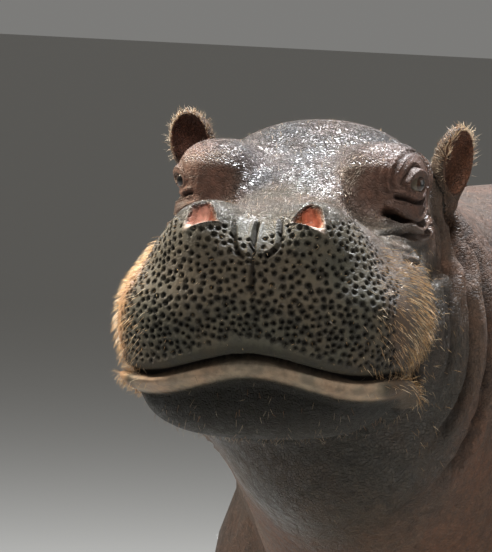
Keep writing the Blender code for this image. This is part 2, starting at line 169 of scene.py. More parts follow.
for side in (1, -1):
    x, y, u, v = side * legs["foreX"], legs["foreY"], side * legs["hindX"], legs["hindY"]
    legForms += [
        limb((x, y - 0.02, 0.60), (x, y + 0.03, 0.36), 0.185, 0.142, 0.10),  # forearm
        limb((x, y + 0.03, 0.36), (x, y, 0.16), 0.142, 0.112, 0.06),  # wrist
        limb((x, y, 0.16), (x, y - 0.02, 0.07), 0.108, 0.135, 0.05),  # forefoot
        limb((u, v - 0.03, 0.64), (u, v + 0.02, 0.38), 0.21, 0.144, 0.10),  # thigh
        limb((u, v + 0.02, 0.38), (u, v + 0.05, 0.18), 0.140, 0.106, 0.06),  # hock
        limb((u, v + 0.05, 0.18), (u, v, 0.07), 0.106, 0.130, 0.05),  # hindfoot
    ]
    for footX, footY in ((x, y - 0.02), (u, v)):
        for toe in range(legs["toes"]):
            angle = legs["spread"] * (toe - (legs["toes"] - 1) / 2)
            tipX = footX + math.sin(angle) * legs["reach"]
            tipY = footY - math.cos(angle) * legs["reach"]
            tip = (tipX, tipY, legs["toeHeight"])
            toeForms.append(egg(tip, legs["toe"], 0.02, (0, 0, math.degrees(angle))))
            toePlaces.append((footX, footY, angle))


mouth = {"height": -0.232, "half": 0.19, "sideDrop": 0.040, "flews": 0.050, "flewsY": -0.20,
         "rise": 0.09, "seam": 0.02, "lipRoll": 0.006}


def mouthHeight(x, y):
    side = ease(np.abs(x) / mouth["half"])
    back = y - mouth["flewsY"]
    hang = mouth["flews"] * side * bell(back, 0.11)  # the upper lip hangs lowest at its sides
    return mouth["height"] - mouth["sideDrop"] * side - hang + mouth["rise"] * ease(back / 0.22)


def headField(points):
    upper = joined(headForms, points)
    lower = joined(jawForms, points)
    x, y, z = points.T
    line = mouthHeight(x, y)
    found = smoothMin(np.maximum(upper, line - z), np.maximum(lower, z - line), mouth["seam"])
    front = ease((0.02 - y) / 0.10)
    return found - mouth["lipRoll"] * front * bell(z - line + 0.018, 0.014)


skin = {"depth": 0.002, "voxel": 0.020, "floorGap": 0.0005, "floorRound": 0.004, "barrelShare": 0.43,
        "neckBlend": 0.12, "headReach": 0.85, "legReach": 0.95, "toeReach": 0.25}


def fleshField(points):
    local = points - bodyShift
    whole = joined(trunkForms, local)
    for forms, reach in ((legForms, skin["legReach"]), (toeForms, skin["toeReach"])):
        low = local[:, 2] < reach
        whole[low] = joined(forms, local[low], whole[low])
    near = toHead(points)
    close = np.linalg.norm(near, axis=1) < skin["headReach"]
    whole[close] = smoothMin(whole[close], headField(near[close]), skin["neckBlend"])
    return -smoothMin(-whole - skin["depth"], points[:, 2] - skin["floorGap"], skin["floorRound"])


def meshPoints(mesh):
    points = np.empty(len(mesh.vertices) * 3)
    mesh.vertices.foreach_get("co", points)
    return points.reshape(-1, 3)


def meshNormals(mesh):
    normals = np.empty(len(mesh.vertices) * 3, np.float32)
    mesh.vertex_normals.foreach_get("vector", normals)
    return normals.reshape(-1, 3).astype(float)


def measured(mesh):
    points, normals = meshPoints(mesh), meshNormals(mesh)
    return points, normals, toHead(points), normals @ headBack[:3, :3].T


def smoothFaces(mesh):
    mesh.polygons.foreach_set("use_smooth", [True] * len(mesh.polygons))
    mesh.update()


def movePoints(mesh, points):
    mesh.vertices.foreach_set("co", points.ravel())
    mesh.update()


def settle(mesh, field, steps=5, most=0.03):  # the mesh moved onto the field's surface
    points = meshPoints(mesh)
    for _ in range(steps):
        points -= np.clip(field(points), -most, most)[:, None] * meshNormals(mesh)
        movePoints(mesh, points)


def addObject(name, mesh):
    made = bpy.data.objects.new(name, mesh)
    scene.collection.objects.link(made)
    return made


def applyModifiers(piece):
    graph = bpy.context.evaluated_depsgraph_get()
    mesh = bpy.data.meshes.new_from_object(piece.evaluated_get(graph))
    piece.modifiers.clear()
    old, piece.data = piece.data, mesh
    bpy.data.meshes.remove(old)
    mesh.name = piece.name


def opened(mesh):
    shape = bmesh.new()
    shape.from_mesh(mesh)
    shape.verts.ensure_lookup_table()
    return shape


def written(shape, mesh):
    shape.to_mesh(mesh)
    shape.free()
    mesh.update()
    return mesh


def joinedCopy(name, nodes):
    shape = bmesh.new()
    for node in nodes:
        shape.from_mesh(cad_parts[node].data)
    bmesh.ops.remove_doubles(shape, verts=shape.verts, dist=1e-5)
    return addObject(name, written(shape, bpy.data.meshes.new(name)))


def fused(piece, voxel):
    fuse = piece.modifiers.new("fuse", "REMESH")
    fuse.mode, fuse.voxel_size = "VOXEL", voxel
    applyModifiers(piece)


def eased(mesh, inside, rounds, factor=0.5):
    shape = opened(mesh)
    chosen = [shape.verts[i] for i in np.flatnonzero(inside)]
    for _ in range(rounds):
        bmesh.ops.smooth_vert(
            shape, verts=chosen, factor=factor, use_axis_x=True, use_axis_y=True, use_axis_z=True
        )
    written(shape, mesh)


def finer(mesh, zone, rounds=2):
    inside = zone(meshPoints(mesh))
    shape = opened(mesh)
    edges = [e for e in shape.edges if inside[e.verts[0].index] and inside[e.verts[1].index]]
    bmesh.ops.subdivide_edges(shape, edges=edges, cuts=1, use_grid_fill=True)
    written(shape, mesh)
    eased(mesh, zone(meshPoints(mesh)), rounds)


# the skin: the solids of flesh joined, then refined towards the face
bodyNodes = [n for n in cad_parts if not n.startswith(("ear", "eye", "forenail", "hindnail"))]
hide = joinedCopy("hide", bodyNodes)
fused(hide, skin["voxel"])
settle(hide.data, fleshField, 4)
say("skin fused,", len(hide.data.polygons), "faces")


def plainness(points):  # where the skin is so plain that fewer faces are enough
    near = toHead(points)
    y, z = points[:, 1], points[:, 2]
    barrel = ease((y + 0.75) / 0.2) * ease((z - 0.52) / 0.15)
    legsToo = 0.6 * ease((z - 0.22) / 0.1) * ease((y + 0.75) / 0.2)
    slimTail = ease((1.28 + bodyShift[1] - y) / 0.08)
    return np.maximum(barrel, legsToo) * slimTail * ease((np.linalg.norm(near, axis=1) - 0.5) / 0.2)


group = hide.vertex_groups.new(name="plain")
for index, weight in enumerate(plainness(meshPoints(hide.data))):
    if weight > 0.02:
        group.add([index], float(weight), "REPLACE")
thin = hide.modifiers.new("thin", "DECIMATE")
thin.ratio, thin.vertex_group = skin["barrelShare"], group.name
applyModifiers(hide)
hide.vertex_groups.clear()
settle(hide.data, fleshField, 2)
say("barrel thinned,", len(hide.data.polygons), "faces")


def headZone(points):
    near = toHead(points)
    feet = points[:, 2] < 0.10
    return feet | (np.linalg.norm(near * (1, 0.9, 1) - (0, -0.12, -0.15), axis=1) < 0.44)


def faceZone(points):
    x, y, z = toHead(points).T
    nearEyes = (y < 0.10) & (z > -0.13) & (np.abs(x) > 0.08)
    return (y > -0.7) & (z > -0.345) & (z < 0.2) & (np.abs(x) < 0.3) & ((y < -0.22) | nearEyes)


def fineZone(points):
    x, y, z = toHead(points).T
    face = (np.abs(x) < 0.3) & (y > -0.7) & (z < 0.2)
    line = mouthHeight(x, y)
    muzzle = (y < -0.37) & (z > line) & (np.abs(x) < 0.215)
    lips = (y < -0.20) & (np.abs(z - line + 0.010) < 0.022)
    eye = np.stack((np.abs(x) - 0.185, 0.8 * (y + 0.045), z + 0.025), 1)
    return face & (muzzle | lips | (np.linalg.norm(eye, axis=1) < 0.062))


for zone in (headZone, faceZone, fineZone):
    finer(hide.data, zone)
    settle(hide.data, fleshField, 3, 0.01)
    say("finer in the", zone.__name__, len(hide.data.polygons), "faces")


# creases, lids, nostrils and pits, all pushed in along the smooth skin's own normals
def nearPath(points, path, steps=8):  # distance to a smooth curve through the knots, and how far along it
    knots = np.array(path, float)
    knots = np.vstack((2 * knots[0] - knots[1], knots, 2 * knots[-1] - knots[-2]))
    line = []
    for a, b, c, d in zip(knots, knots[1:], knots[2:], knots[3:]):
        for t in np.linspace(0, 1, steps, endpoint=False):
            bend = (2 * a - 5 * b + 4 * c - d) * t * t + (3 * b - a - 3 * c + d) * t**3
            line.append((2 * b + (c - a) * t + bend) / 2)
    line = np.array([*line, knots[-2]])
    away, share = np.full(len(points), 9.0), np.zeros(len(points))
    for index, (start, end) in enumerate(zip(line, line[1:])):
        run = end - start
        t = np.clip((points - start) @ run / (run @ run), 0, 1)
        found = np.linalg.norm(points - start - t[:, None] * run, axis=1)
        closer = found < away
        away[closer] = found[closer]
        share[closer] = (index + t[closer]) / (len(line) - 1)
    return away, share


def onSkin(path):  # the knots moved along the slope to the skin's surface
    points, step = fromHead(path), 0.001
    for _ in range(4):
        here = fleshField(points)
        beside = [fleshField(points + step * np.eye(3)[axis]) - here for axis in range(3)]
        slope = np.stack(beside, 1) / step
        points = points - here[:, None] * slope / ((slope**2).sum(1)[:, None] + 0.05)
    return toHead(points)


creaseShade = {"fullDepth": 0.006, "leastWidth": 0.0036}


def addCrease(points, move, shade, path, width, depth, share=1.0, shoulder=0.45, fade=0.12):
    reach = 4 * width
    near = np.all((points > np.min(path, 0) - reach) & (points < np.max(path, 0) + reach), 1)
    if not near.any():
        return
    away, along = nearPath(points[near], path)
    strength = share * ease(along / fade) * ease((1 - along) / fade)
    move[near] += depth * strength * (shoulder * bell(away - 1.9 * width, 0.9 * width) - bell(away, width))
    # painted shade along the crease, fainter for shallow ones
    dark = strength * min(1, depth / creaseShade["fullDepth"])
    dark = dark * bell(away, max(0.8 * width, creaseShade["leastWidth"]))
    shade[near] = np.maximum(shade[near], dark)


muzzleCreases = [  # path, width, depth: the groove between the nostrils, with a plate's edge on each side
    ([(-0.036, -0.412, -0.026), (-0.031, -0.445, -0.047), (-0.024, -0.462, -0.066), (-0.008, -0.471, -0.082)],
     0.0034, 0.0080),
    ([(0.000, -0.400, -0.025), (0.001, -0.446, -0.049), (0.002, -0.473, -0.088), (0.006, -0.489, -0.139)],
     0.0034, 0.0160),
    ([(0.037, -0.400, -0.017), (0.042, -0.445, -0.042), (0.040, -0.462, -0.062), (0.018, -0.471, -0.080)],
     0.0034, 0.0080),
]
eyeCreases = [  # path on the left of the head, width, depth, share on the right of it
    # under the pouch, under the roll below it, and under the lower lid
    ([(0.148, -0.092, -0.045), (0.170, -0.083, -0.055), (0.186, -0.080, -0.065), (0.203, -0.058, -0.073),
      (0.211, -0.005, -0.074), (0.207, 0.060, -0.060)], 0.0062, 0.0180, 0.9),
    ([(0.150, -0.170, -0.076), (0.180, -0.118, -0.083), (0.195, -0.085, -0.087), (0.206, -0.050, -0.091),
      (0.212, 0.020, -0.091), (0.216, 0.095, -0.078)], 0.0056, 0.0130, 0.7),
    ([(0.168, -0.082, -0.024), (0.178, -0.074, -0.026), (0.189, -0.067, -0.029), (0.201, -0.052, -0.036),
      (0.210, -0.015, -0.038), (0.205, 0.045, -0.028)], 0.0036, 0.0070, 0.9),
    # over the upper lid, and twice in front of it
    ([(0.172, -0.080, -0.016), (0.166, -0.078, 0.004), (0.173, -0.054, 0.029), (0.190, -0.004, 0.044),
      (0.201, 0.050, 0.026)], 0.0034, 0.0034, 0.1),
    ([(0.159, -0.086, -0.022), (0.154, -0.083, 0.004), (0.161, -0.058, 0.033)], 0.0032, 0.0020, 0.1),
    ([(0.143, -0.090, -0.030), (0.139, -0.087, -0.004), (0.147, -0.066, 0.024)], 0.0032, 0.0015, 0.1),
    # behind the brow
    ([(0.190, 0.108, 0.022), (0.203, 0.116, 0.002), (0.208, 0.120, -0.030)], 0.0040, 0.0065, 1.0),
    # along the cheek and down it
    ([(0.188, -0.225, -0.092), (0.205, -0.170, -0.106), (0.214, -0.110, -0.112)], 0.0060, 0.0045, 1.0),
    ([(0.205, -0.235, -0.112), (0.218, -0.175, -0.124), (0.224, -0.110, -0.132)], 0.0060, 0.0040, 1.0),
    ([(0.222, -0.150, -0.150), (0.232, -0.090, -0.190), (0.238, -0.050, -0.250)], 0.0080, 0.0050, 1.0),
    # behind the eye
    ([(0.190, 0.040, 0.036), (0.204, 0.046, 0.017), (0.211, 0.044, -0.008), (0.214, 0.036, -0.030)],
     0.0038, 0.0065, 0.6),
    ([(0.186, 0.072, 0.034), (0.204, 0.082, 0.016), (0.210, 0.082, -0.008), (0.212, 0.078, -0.035)],
     0.0038, 0.0070, 0.6),
    ([(0.205, 0.040, -0.050), (0.216, 0.075, -0.085), (0.222, 0.090, -0.130)], 0.0050, 0.0050, 1.0),
]
bodyCreases = [  # path on the left of the neck, width, depth: from the jaw back, then one on the cheek
    ([(0.212, 0.120, -0.070), (0.231, 0.128, -0.112), (0.246, 0.100, -0.160), (0.258, 0.061, -0.214),
      (0.258, 0.045, -0.281), (0.235, 0.030, -0.360)], 0.010, 0.013),
    ([(0.226, 0.165, -0.060), (0.243, 0.190, -0.097), (0.266, 0.165, -0.143), (0.286, 0.130, -0.200),
      (0.298, 0.110, -0.280), (0.262, 0.090, -0.380), (0.14, 0.07, -0.47)], 0.012, 0.018),
    ([(0.238, 0.260, -0.060), (0.266, 0.247, -0.091), (0.291, 0.217, -0.131), (0.312, 0.185, -0.230),
      (0.306, 0.165, -0.340), (0.225, 0.150, -0.460), (0.10, 0.14, -0.52)], 0.014, 0.016),
    ([(0.262, 0.350, -0.130), (0.312, 0.300, -0.230), (0.325, 0.265, -0.350), (0.255, 0.240, -0.490)],
     0.016, 0.012),
    ([(0.230, 0.090, -0.120), (0.240, 0.050, -0.190), (0.243, 0.020, -0.290)], 0.008, 0.007),
]
legCreases = [  # height above the floor, width, depth
    (0.128, 0.007, 0.007), (0.158, 0.008, 0.008), (0.195, 0.008, 0.006),
    (0.300, 0.012, 0.006), (0.345, 0.012, 0.005),
]
groove = {  # the line of the mouth, the lower lip's band under it and the roll at its corners
    "depth": 0.015, "width": 0.0052, "bandDrop": 0.032, "bandCrease": 0.004, "roll": 0.006,
    "corner": 0.009, "cornerX": 0.207, "chinIn": 0.018,
}
crownDips = {"at": ((-0.028, 0.030), (0.045, 0.032)), "wide": 0.028, "long": 0.018, "depth": 0.007}
eyes = {  # hood and fold are given for the left, 1, and the right, -1; the right eye lies deeper
    "gaze": (0.81, -0.58, 0.00), "look": {"left": (0.92, -0.39, 0.02), "right": (0.62, -0.78, 0.02)},
    "long": 0.0245, "high": 0.0120, "low": 0.0110, "depth": 0.016, "deeper": 0.008, "sunken": 0.010,
    "hood": {1: 0.0068, -1: 0.0030}, "ledge": 0.0020, "fold": {1: 0.0040, -1: 0.0010},
    "foldAway": 0.0185, "foldShade": 150, "reach": 0.05,
}
nostrils = {"centre": (0.083, -0.4270, -0.016), "faces": (0.02, -0.55, 0.83), "across": 0.0225,
            "along": 0.0275, "turn": 24, "depth": 0.024, "rim": 0.0030}
pits = {"spacing": 0.0118, "radius": 0.0034, "depth": 0.0044, "reach": 0.02, "seed": 4}


def mirroredPath(path):
    return [(-x, y, z) for x, y, z in path]


def eyeFrame(side):
    centre = np.array(pose["eye"]) * (side, 1, 1) + (eyes["deeper"] * (side < 0), 0, 0)
    gaze = np.array(eyes["gaze"]) * (side, 1, 1)
    gaze /= np.linalg.norm(gaze)
    across = np.cross(gaze, (0, 0, 1))
    across /= np.linalg.norm(across)
    return centre, gaze, across, np.cross(across, gaze)


def aroundEye(near, side):  # distance outwards from the lids' edge, and height over the eye's middle
    centre, gaze, across, up = eyeFrame(side)
    out, u, v = (near - centre) @ gaze, (near - centre) @ across, (near - centre) @ up
    tall = np.where(v > 0, eyes["high"], eyes["low"])
    angle = np.arctan2(v * eyes["long"], u * tall)
    rim = np.hypot(eyes["long"] * np.cos(angle), tall * np.sin(angle))
    corner = np.clip(np.abs(u) / eyes["long"], 0, 1) ** 3
    return np.where(out > 0, np.hypot(u, v) - rim + 0.004 * corner, 9.0), v


def aroundNostril(near, side):
    centre = np.array(nostrils["centre"]) * (side, 1, 1)
    out = np.array(nostrils["faces"]) * (side, 1, 1)
    out /= np.linalg.norm(out)
    across = np.cross(out, (0, 0, 1))
    across /= np.linalg.norm(across)
    up = np.cross(across, out)
    turn = math.radians(nostrils["turn"]) * side
    u, v = (near - centre) @ across, (near - centre) @ up
    u, v = u * math.cos(turn) - v * math.sin(turn), u * math.sin(turn) + v * math.cos(turn)
    inward = u * side / nostrils["across"]  # grows towards the middle of the muzzle, where the slit narrows
    tall = nostrils["along"] * np.clip(0.80 - 0.62 * inward, 0.16, 1.2)
    squarer = np.where(inward < 0, np.abs(inward) ** 1.7, np.abs(inward))
    level = np.hypot(squarer, v / tall)
    return np.where(np.abs((near - centre) @ out) < 0.035, level, 9.0), inward, v


def pitCentres(near, normals):  # evenly spread at random over the muzzle's front
    x, y, z = near.T
    line = mouthHeight(x, y)
    clear = np.minimum(aroundNostril(near, 1)[0], aroundNostril(near, -1)[0]) > 1.42
    bare = 0.032 - 0.010 * ease(np.abs(x) / 0.2)
    front = (y < -0.34) & (z < -0.03) & (np.abs(x) < 0.222) & (normals[:, 2] < 0.75)
    field = clear & front & (z > line + bare)
    candidates = np.flatnonzero(field)
    np.random.default_rng(pits["seed"]).shuffle(candidates)
    taken = {}
    chosen = []
    cell = pits["spacing"]
    for index in candidates:
        place = near[index]
        closer = 0.14 * float(ease((-0.13 - place[2]) / 0.06))  # towards the lip
        gap = cell * (1.0 + 0.12 * math.sin(91 * index) - closer)
        key = tuple(np.floor(place / cell).astype(int))
        around = [
            taken.get((key[0] + i, key[1] + j, key[2] + k), ())
            for i in (-1, 0, 1) for j in (-1, 0, 1) for k in (-1, 0, 1)
        ]
        if all(np.linalg.norm(place - near[other]) > gap for cells in around for other in cells):
            taken.setdefault(key, []).append(index)
            chosen.append(index)
    return chosen


mesh = hide.data
points, normals, near, nearNormals = measured(mesh)
x, y, z = near.T
line = mouthHeight(x, y)
move, paintedCreaseShade = np.zeros(len(points)), np.zeros(len(points))
onFace = (np.abs(x) < 0.32) & (y < 0.3) & (z > -0.6)

front = ease((-0.02 - y) / 0.16) * onFace
dz = z - line
band = groove["bandDrop"] * (1 - 0.35 * ease(-x / 0.2))
move -= groove["depth"] * (front * bell(dz, groove["width"]))
move += front * groove["roll"] * (0.8 * bell(dz - 0.018, 0.012) + 1.35 * bell(dz + 0.46 * band, 0.42 * band))
move -= front * groove["bandCrease"] * bell(dz + 1.06 * band, 0.007)
move -= groove["chinIn"] * front * ease((-dz - band) / 0.022) * (nearNormals[:, 1] < 0)
fromCorner = np.hypot((np.abs(x) - groove["cornerX"]) / 0.020, (dz + 0.018) / 0.020)
move += groove["corner"] * front * bell(fromCorner, 1)
# painted shadow in the mouth's gap
paintedCreaseShade = np.maximum(paintedCreaseShade, 1.6 * front * bell(dz - 0.0005, 0.0048))
for path, width, depth in muzzleCreases:
    addCrease(near, move, paintedCreaseShade, path, width, depth, shoulder=0.15)
for path, width, depth, share in eyeCreases:
    addCrease(near, move, paintedCreaseShade, onSkin(path), width, depth)
    addCrease(near, move, paintedCreaseShade, onSkin(mirroredPath(path)), width, depth, share)
for path, width, depth in bodyCreases:
    addCrease(near, move, paintedCreaseShade, onSkin(path), width, depth)
    addCrease(near, move, paintedCreaseShade, onSkin(mirroredPath(path)), width, depth)
for dipX, dipY in crownDips["at"]:
    dip = bell(np.hypot((x - dipX) / crownDips["wide"], (y - dipY) / crownDips["long"]), 1)
    move -= crownDips["depth"] * dip * (nearNormals[:, 2] > 0.4) * onFace

rightSocket = np.linalg.norm((near - (-0.205, -0.045, -0.022)) / (1, 1.3, 0.8), axis=1)
move -= eyes["sunken"] * bell(rightSocket, 0.030)
eyeRim, lining = np.full(len(points), 9.0), np.zeros(len(points))
nostrilSide, nostrilRim, nostrilHeight = (np.zeros(len(points)) for _ in range(3))
for side in (1, -1):
    rim, v = aroundEye(near, side)
    upper = ease(v / 0.006 + 0.5)
    move -= eyes["depth"] * ease((0.0012 - rim) / 0.0034)
    seen = rim < 0.04
    move += eyes["hood"][side] * bell(rim - 0.0082, 0.0058) * upper * seen
    move += eyes["ledge"] * bell(rim - 0.0048, 0.0034) * (1 - upper) * seen
    move -= eyes["fold"][side] * bell(rim - eyes["foldAway"], 0.0030) * upper * seen
    foldShade = eyes["foldShade"] * eyes["fold"][side] * upper * bell(rim - eyes["foldAway"], 0.0028)
    paintedCreaseShade = np.maximum(paintedCreaseShade, foldShade)
    eyeRim = np.minimum(eyeRim, rim)
    level, inward, v = aroundNostril(near, side)
    beside = level < 2.2
    above = ease(v / 0.03 + 0.5)
    move -= nostrils["depth"] * ease((1.0 - level) / 0.30) * beside
    move += nostrils["rim"] * bell(level - 1.25, 0.22) * (0.5 + 0.9 * above) * beside
    move += 0.004 * bell(np.hypot(inward + 1.25, v / 0.02 - 0.3), 0.55) * beside
    lining = np.maximum(lining, ease((1.10 - level) / 0.26) * beside)
    nostrilSide = np.where(beside, inward, nostrilSide)
    nostrilHeight = np.where(beside, v / nostrils["along"], nostrilHeight)
    # the pale lower rim of each nostril, kept for a painted highlight on its lower edge only
    lowerRim = bell(level - 1.08, 0.12) * ease((0.014 - v) / 0.02)
    nostrilRim = np.where(beside, np.maximum(nostrilRim, lowerRim), nostrilRim)

centres = pitCentres(near, nearNormals)
tree = kdtree.KDTree(len(centres))
for index in centres:
    tree.insert(near[index], index)
tree.balance()
pit = np.full(len(points), pits["reach"])
for index in np.flatnonzero((y < -0.30) & (dz > 0) & onFace):
    place, centre, away = tree.find(near[index])
    higher = float(ease((place[2] + 0.14) / 0.06))
    size = (0.72 + 0.40 * abs(math.sin(37 * centre))) * (1 - 0.14 * higher)
    pit[index] = min(away / size, pits["reach"])
aboveLip = ease((dz - 0.010) / 0.05)
pitDepth = pits["depth"] * (0.35 + 0.65 * aboveLip) * (1 - 0.6 * ease((np.abs(x) - 0.15) / 0.07))
move -= pitDepth * ease(1.35 - pit / pits["radius"] / 1.1)

legMiddle = np.where(points[:, 1] < 0.3, legs["foreY"] + bodyShift[1], legs["hindY"] + bodyShift[1])
tilt = 0.25 * (points[:, 1] - legMiddle)
for height, width, depth in legCreases:
    there = bell(points[:, 2] - height - 0.25 * tilt, width) * (points[:, 2] < 0.5)
    move -= depth * there * ease(0.5 - 2.5 * tilt + 0.35 * np.sin(9 * points[:, 0] + 40 * height))
    # painted shade in the leg's creases
    paintedCreaseShade = np.maximum(paintedCreaseShade, 0.6 * there)

move *= ease((points[:, 2] - 0.004) / 0.03)
movePoints(mesh, points + move[:, None] * normals)
eased(mesh, lining > 0.02, 3, 0.4)
say(len(centres), "pits; skin pressed by up to %.1f mm" % (-1000 * move.min()))


def attribute(mesh, name, values):
    made = mesh.attributes.new(name, "FLOAT", "POINT")
    made.data.foreach_set("value", np.asarray(values, np.float32))


kept = {
    "pit": pit * 100, "paintedCreaseShade": paintedCreaseShade, "lining": lining,  # pit and eyeRim are in centimetres
    "eyeRim": np.clip(eyeRim, -eyes["reach"], eyes["reach"]) * 100,
    "nostrilSide": nostrilSide, "nostrilRim": nostrilRim, "nostrilHeight": nostrilHeight,
}
plain = dict.fromkeys(kept, 0.0) | {"pit": pits["reach"] * 100, "eyeRim": eyes["reach"] * 100}
for name, values in kept.items():
    attribute(mesh, name, values)
smoothFaces(mesh)


# ears: cupped leaves, joined to the skin
ears = {
    "left": {"root": (0.219, 0.185, -0.064), "lean": 12, "turn": 52, "length": 0.138},
    "right": {"root": (-0.212, 0.185, -0.030), "lean": -10, "turn": -4, "length": 0.122},
    "voxel": 0.0037, "wide": 0.042, "thick": 0.031, "depth": 0.0015,
    "hollow": (0.033, 0.031, 0.40), "hollowFront": -0.020,  # its height and middle are shares of the length
    "hollowMiddle": 0.56,
}


def earPlace(side):
    made = ears[side]
    return (
        head
        @ Matrix.Translation(made["root"])
        @ Matrix.Rotation(math.radians(made["lean"]), 4, "Y")
        @ Matrix.Rotation(math.radians(made["turn"]), 4, "Z")
    )


def toEar(points, side):
    back = np.array(earPlace(side).inverted())
    return points @ back[:3, :3].T + back[:3, 3]


def earCup(local, side):
    length = ears[side]["length"]
    wide, thick, tall = ears["hollow"]
    middle = (0, ears["hollowFront"], ears["hollowMiddle"] * length)
    return distanceTo(egg(middle, (wide, thick, tall * length)), local)


def besideEar(local, side):
    return np.linalg.norm(local / (0.055, 0.045, ears[side]["length"]) - (0, 0, 0.5), axis=1)


def earField(points, side):
    local = toEar(points, side)
    length = ears[side]["length"]
    leaf = distanceTo(egg((0, 0, length / 2), (ears["wide"], ears["thick"], length / 2)), local)
    stalk = distanceTo(limb((0, 0.004, -0.01), (0, 0.006, 0.30 * length), 0.030, 0.024), local)
    x, y, z = local.T
    height = z / length
    ridges = 0.0014 * np.sin(x * 420 + 3 * height) * ease((height - 0.25) / 0.2) * ease((0.9 - height) / 0.3)
    whole = smoothMin(leaf, stalk, 0.02) + ears["depth"]
    return -smoothMin(-whole, earCup(local, side) + ridges * ease((0.004 - y) / 0.016), 0.006)


for side in ("left", "right"):
    ear = joinedCopy("ear" + side, ["ear_" + side])
    fused(ear, ears["voxel"])
    for rounds in (5, 2):
        settle(ear.data, lambda points: earField(points, side), rounds, 0.006)
        eased(ear.data, np.ones(len(ear.data.vertices), bool), 2)
    for name, value in plain.items():
        attribute(ear.data, name, np.full(len(ear.data.vertices), value))
    smoothFaces(ear.data)
    union = hide.modifiers.new("union", "BOOLEAN")
    union.operation, union.solver, union.object = "UNION", "MANIFOLD", ear
    applyModifiers(hide)
    bpy.data.objects.remove(ear)
    say("ear on the", side, "joined,", len(hide.data.polygons), "faces")


def earRoots(points, reach=0.075, band=0.007):  # where both the ear's and the head's surfaces are close
    found = np.zeros(len(points), bool)
    outer = joined(trunkForms, points - bodyShift)
    for side in ("left", "right"):
        close = np.linalg.norm(toEar(points, side) - (0, 0, 0.02), axis=1) < reach
        whole = smoothMin(outer[close], headField(toHead(points[close])), skin["neckBlend"])
        seam = (np.abs(whole) < band) & (np.abs(earField(points[close], side)) < band)
        found[np.flatnonzero(close)[seam]] = True
    return found


eased(hide.data, earRoots(meshPoints(hide.data)), 6)


# what the skin is like at each place, kept on it for its finish
mesh = hide.data
points, normals, near, nearNormals = measured(mesh)
x, y, z = near.T
wide, faceUp = np.abs(x), nearNormals[:, 2]
onHead = ease((0.30 - y) / 0.16) * (np.linalg.norm(near, axis=1) < 0.8)
earWeight, earInside, earFoot = (np.zeros(len(points)) for _ in range(3))
for side in ("left", "right"):
    local = toEar(points, side)
    along = ease((local[:, 2] / ears[side]["length"] - 0.02) / 0.15)
    close = besideEar(local, side) < 0.95
    earWeight = np.maximum(earWeight, along * close)
    earFoot = np.maximum(earFoot, ease((0.120 - np.linalg.norm(local, axis=1)) / 0.05))
    earInside = np.maximum(earInside, ease((0.0045 - earCup(local, side)) / 0.004) * close)

up = normals[:, 2]
belly = ease((0.62 - points[:, 2]) / 0.25) * (np.abs(points[:, 0]) < 0.6)
# some tones stand for painted light and shade: the lit right flank, the upper lip's edge, the chin, the
# nostrils' pale lower rims and their lit and shaded walls, and the right ear's hollow
tones = {
    "back": (0.070, 0.052, 0.044), "belly": (0.170, 0.105, 0.082), "neck": (0.115, 0.066, 0.043),
    "crown": (0.115, 0.110, 0.112), "bridge": (0.112, 0.096, 0.080), "muzzle": (0.062, 0.055, 0.037),
    "cheek": (0.034, 0.029, 0.021), "flank": (0.066, 0.046, 0.028), "flankPaintedLight": (0.340, 0.205, 0.105),
    "lip": (0.270, 0.205, 0.140), "lipEdgePaintedShade": (0.024, 0.021, 0.012), "chin": (0.006, 0.006, 0.003),
    "brow": (0.105, 0.056, 0.040), "pouch": (0.055, 0.024, 0.013), "fold": (0.250, 0.172, 0.135),
    "lining": (0.560, 0.190, 0.110), "liningPaintedLight": (0.700, 0.380, 0.290), "liningPaintedShade": (0.210, 0.110, 0.045),
    "rim": (0.640, 0.500, 0.410), "lidRim": (0.110, 0.070, 0.048), "earOut": (0.072, 0.042, 0.025),
    "earIn": (0.120, 0.054, 0.030), "earPaintedShade": (0.070, 0.026, 0.016), "feet": (0.080, 0.054, 0.042),
}
tone = np.tile(np.array(tones["back"]), (len(points), 1))


def tint(name, weight):
    share = np.clip(weight, 0, 1)[:, None]
    tone[:] = tone * (1 - share) + np.array(tones[name]) * share


dz = z - mouthHeight(x, y)
forward = ease((-0.20 - y) / 0.16)
eyeSpot = np.stack((wide - 0.165, y + 0.03, z + 0.01), 1)
nearBrow = ease(1.7 - np.linalg.norm(eyeSpot / (0.070, 0.095, 0.052), axis=1))
pouchSpot = np.stack((wide - 0.190, y + 0.03, z + 0.055), 1) / (0.035, 0.06, 0.022)
muzzleFront = onHead * ease((-0.330 - y - 0.085 * ease((wide - 0.155) / 0.08)) / 0.05)
muzzleFront = muzzleFront * ease((-0.012 - z) / 0.03)
chin = onHead * ease((-dz - 0.034) / 0.010)
saved = {}
for name in plain:
    saved[name] = np.empty(len(points), np.float32)
    mesh.attributes[name].data.foreach_get("value", saved[name])
inNostril, nostrilSide = saved["lining"], saved["nostrilSide"]

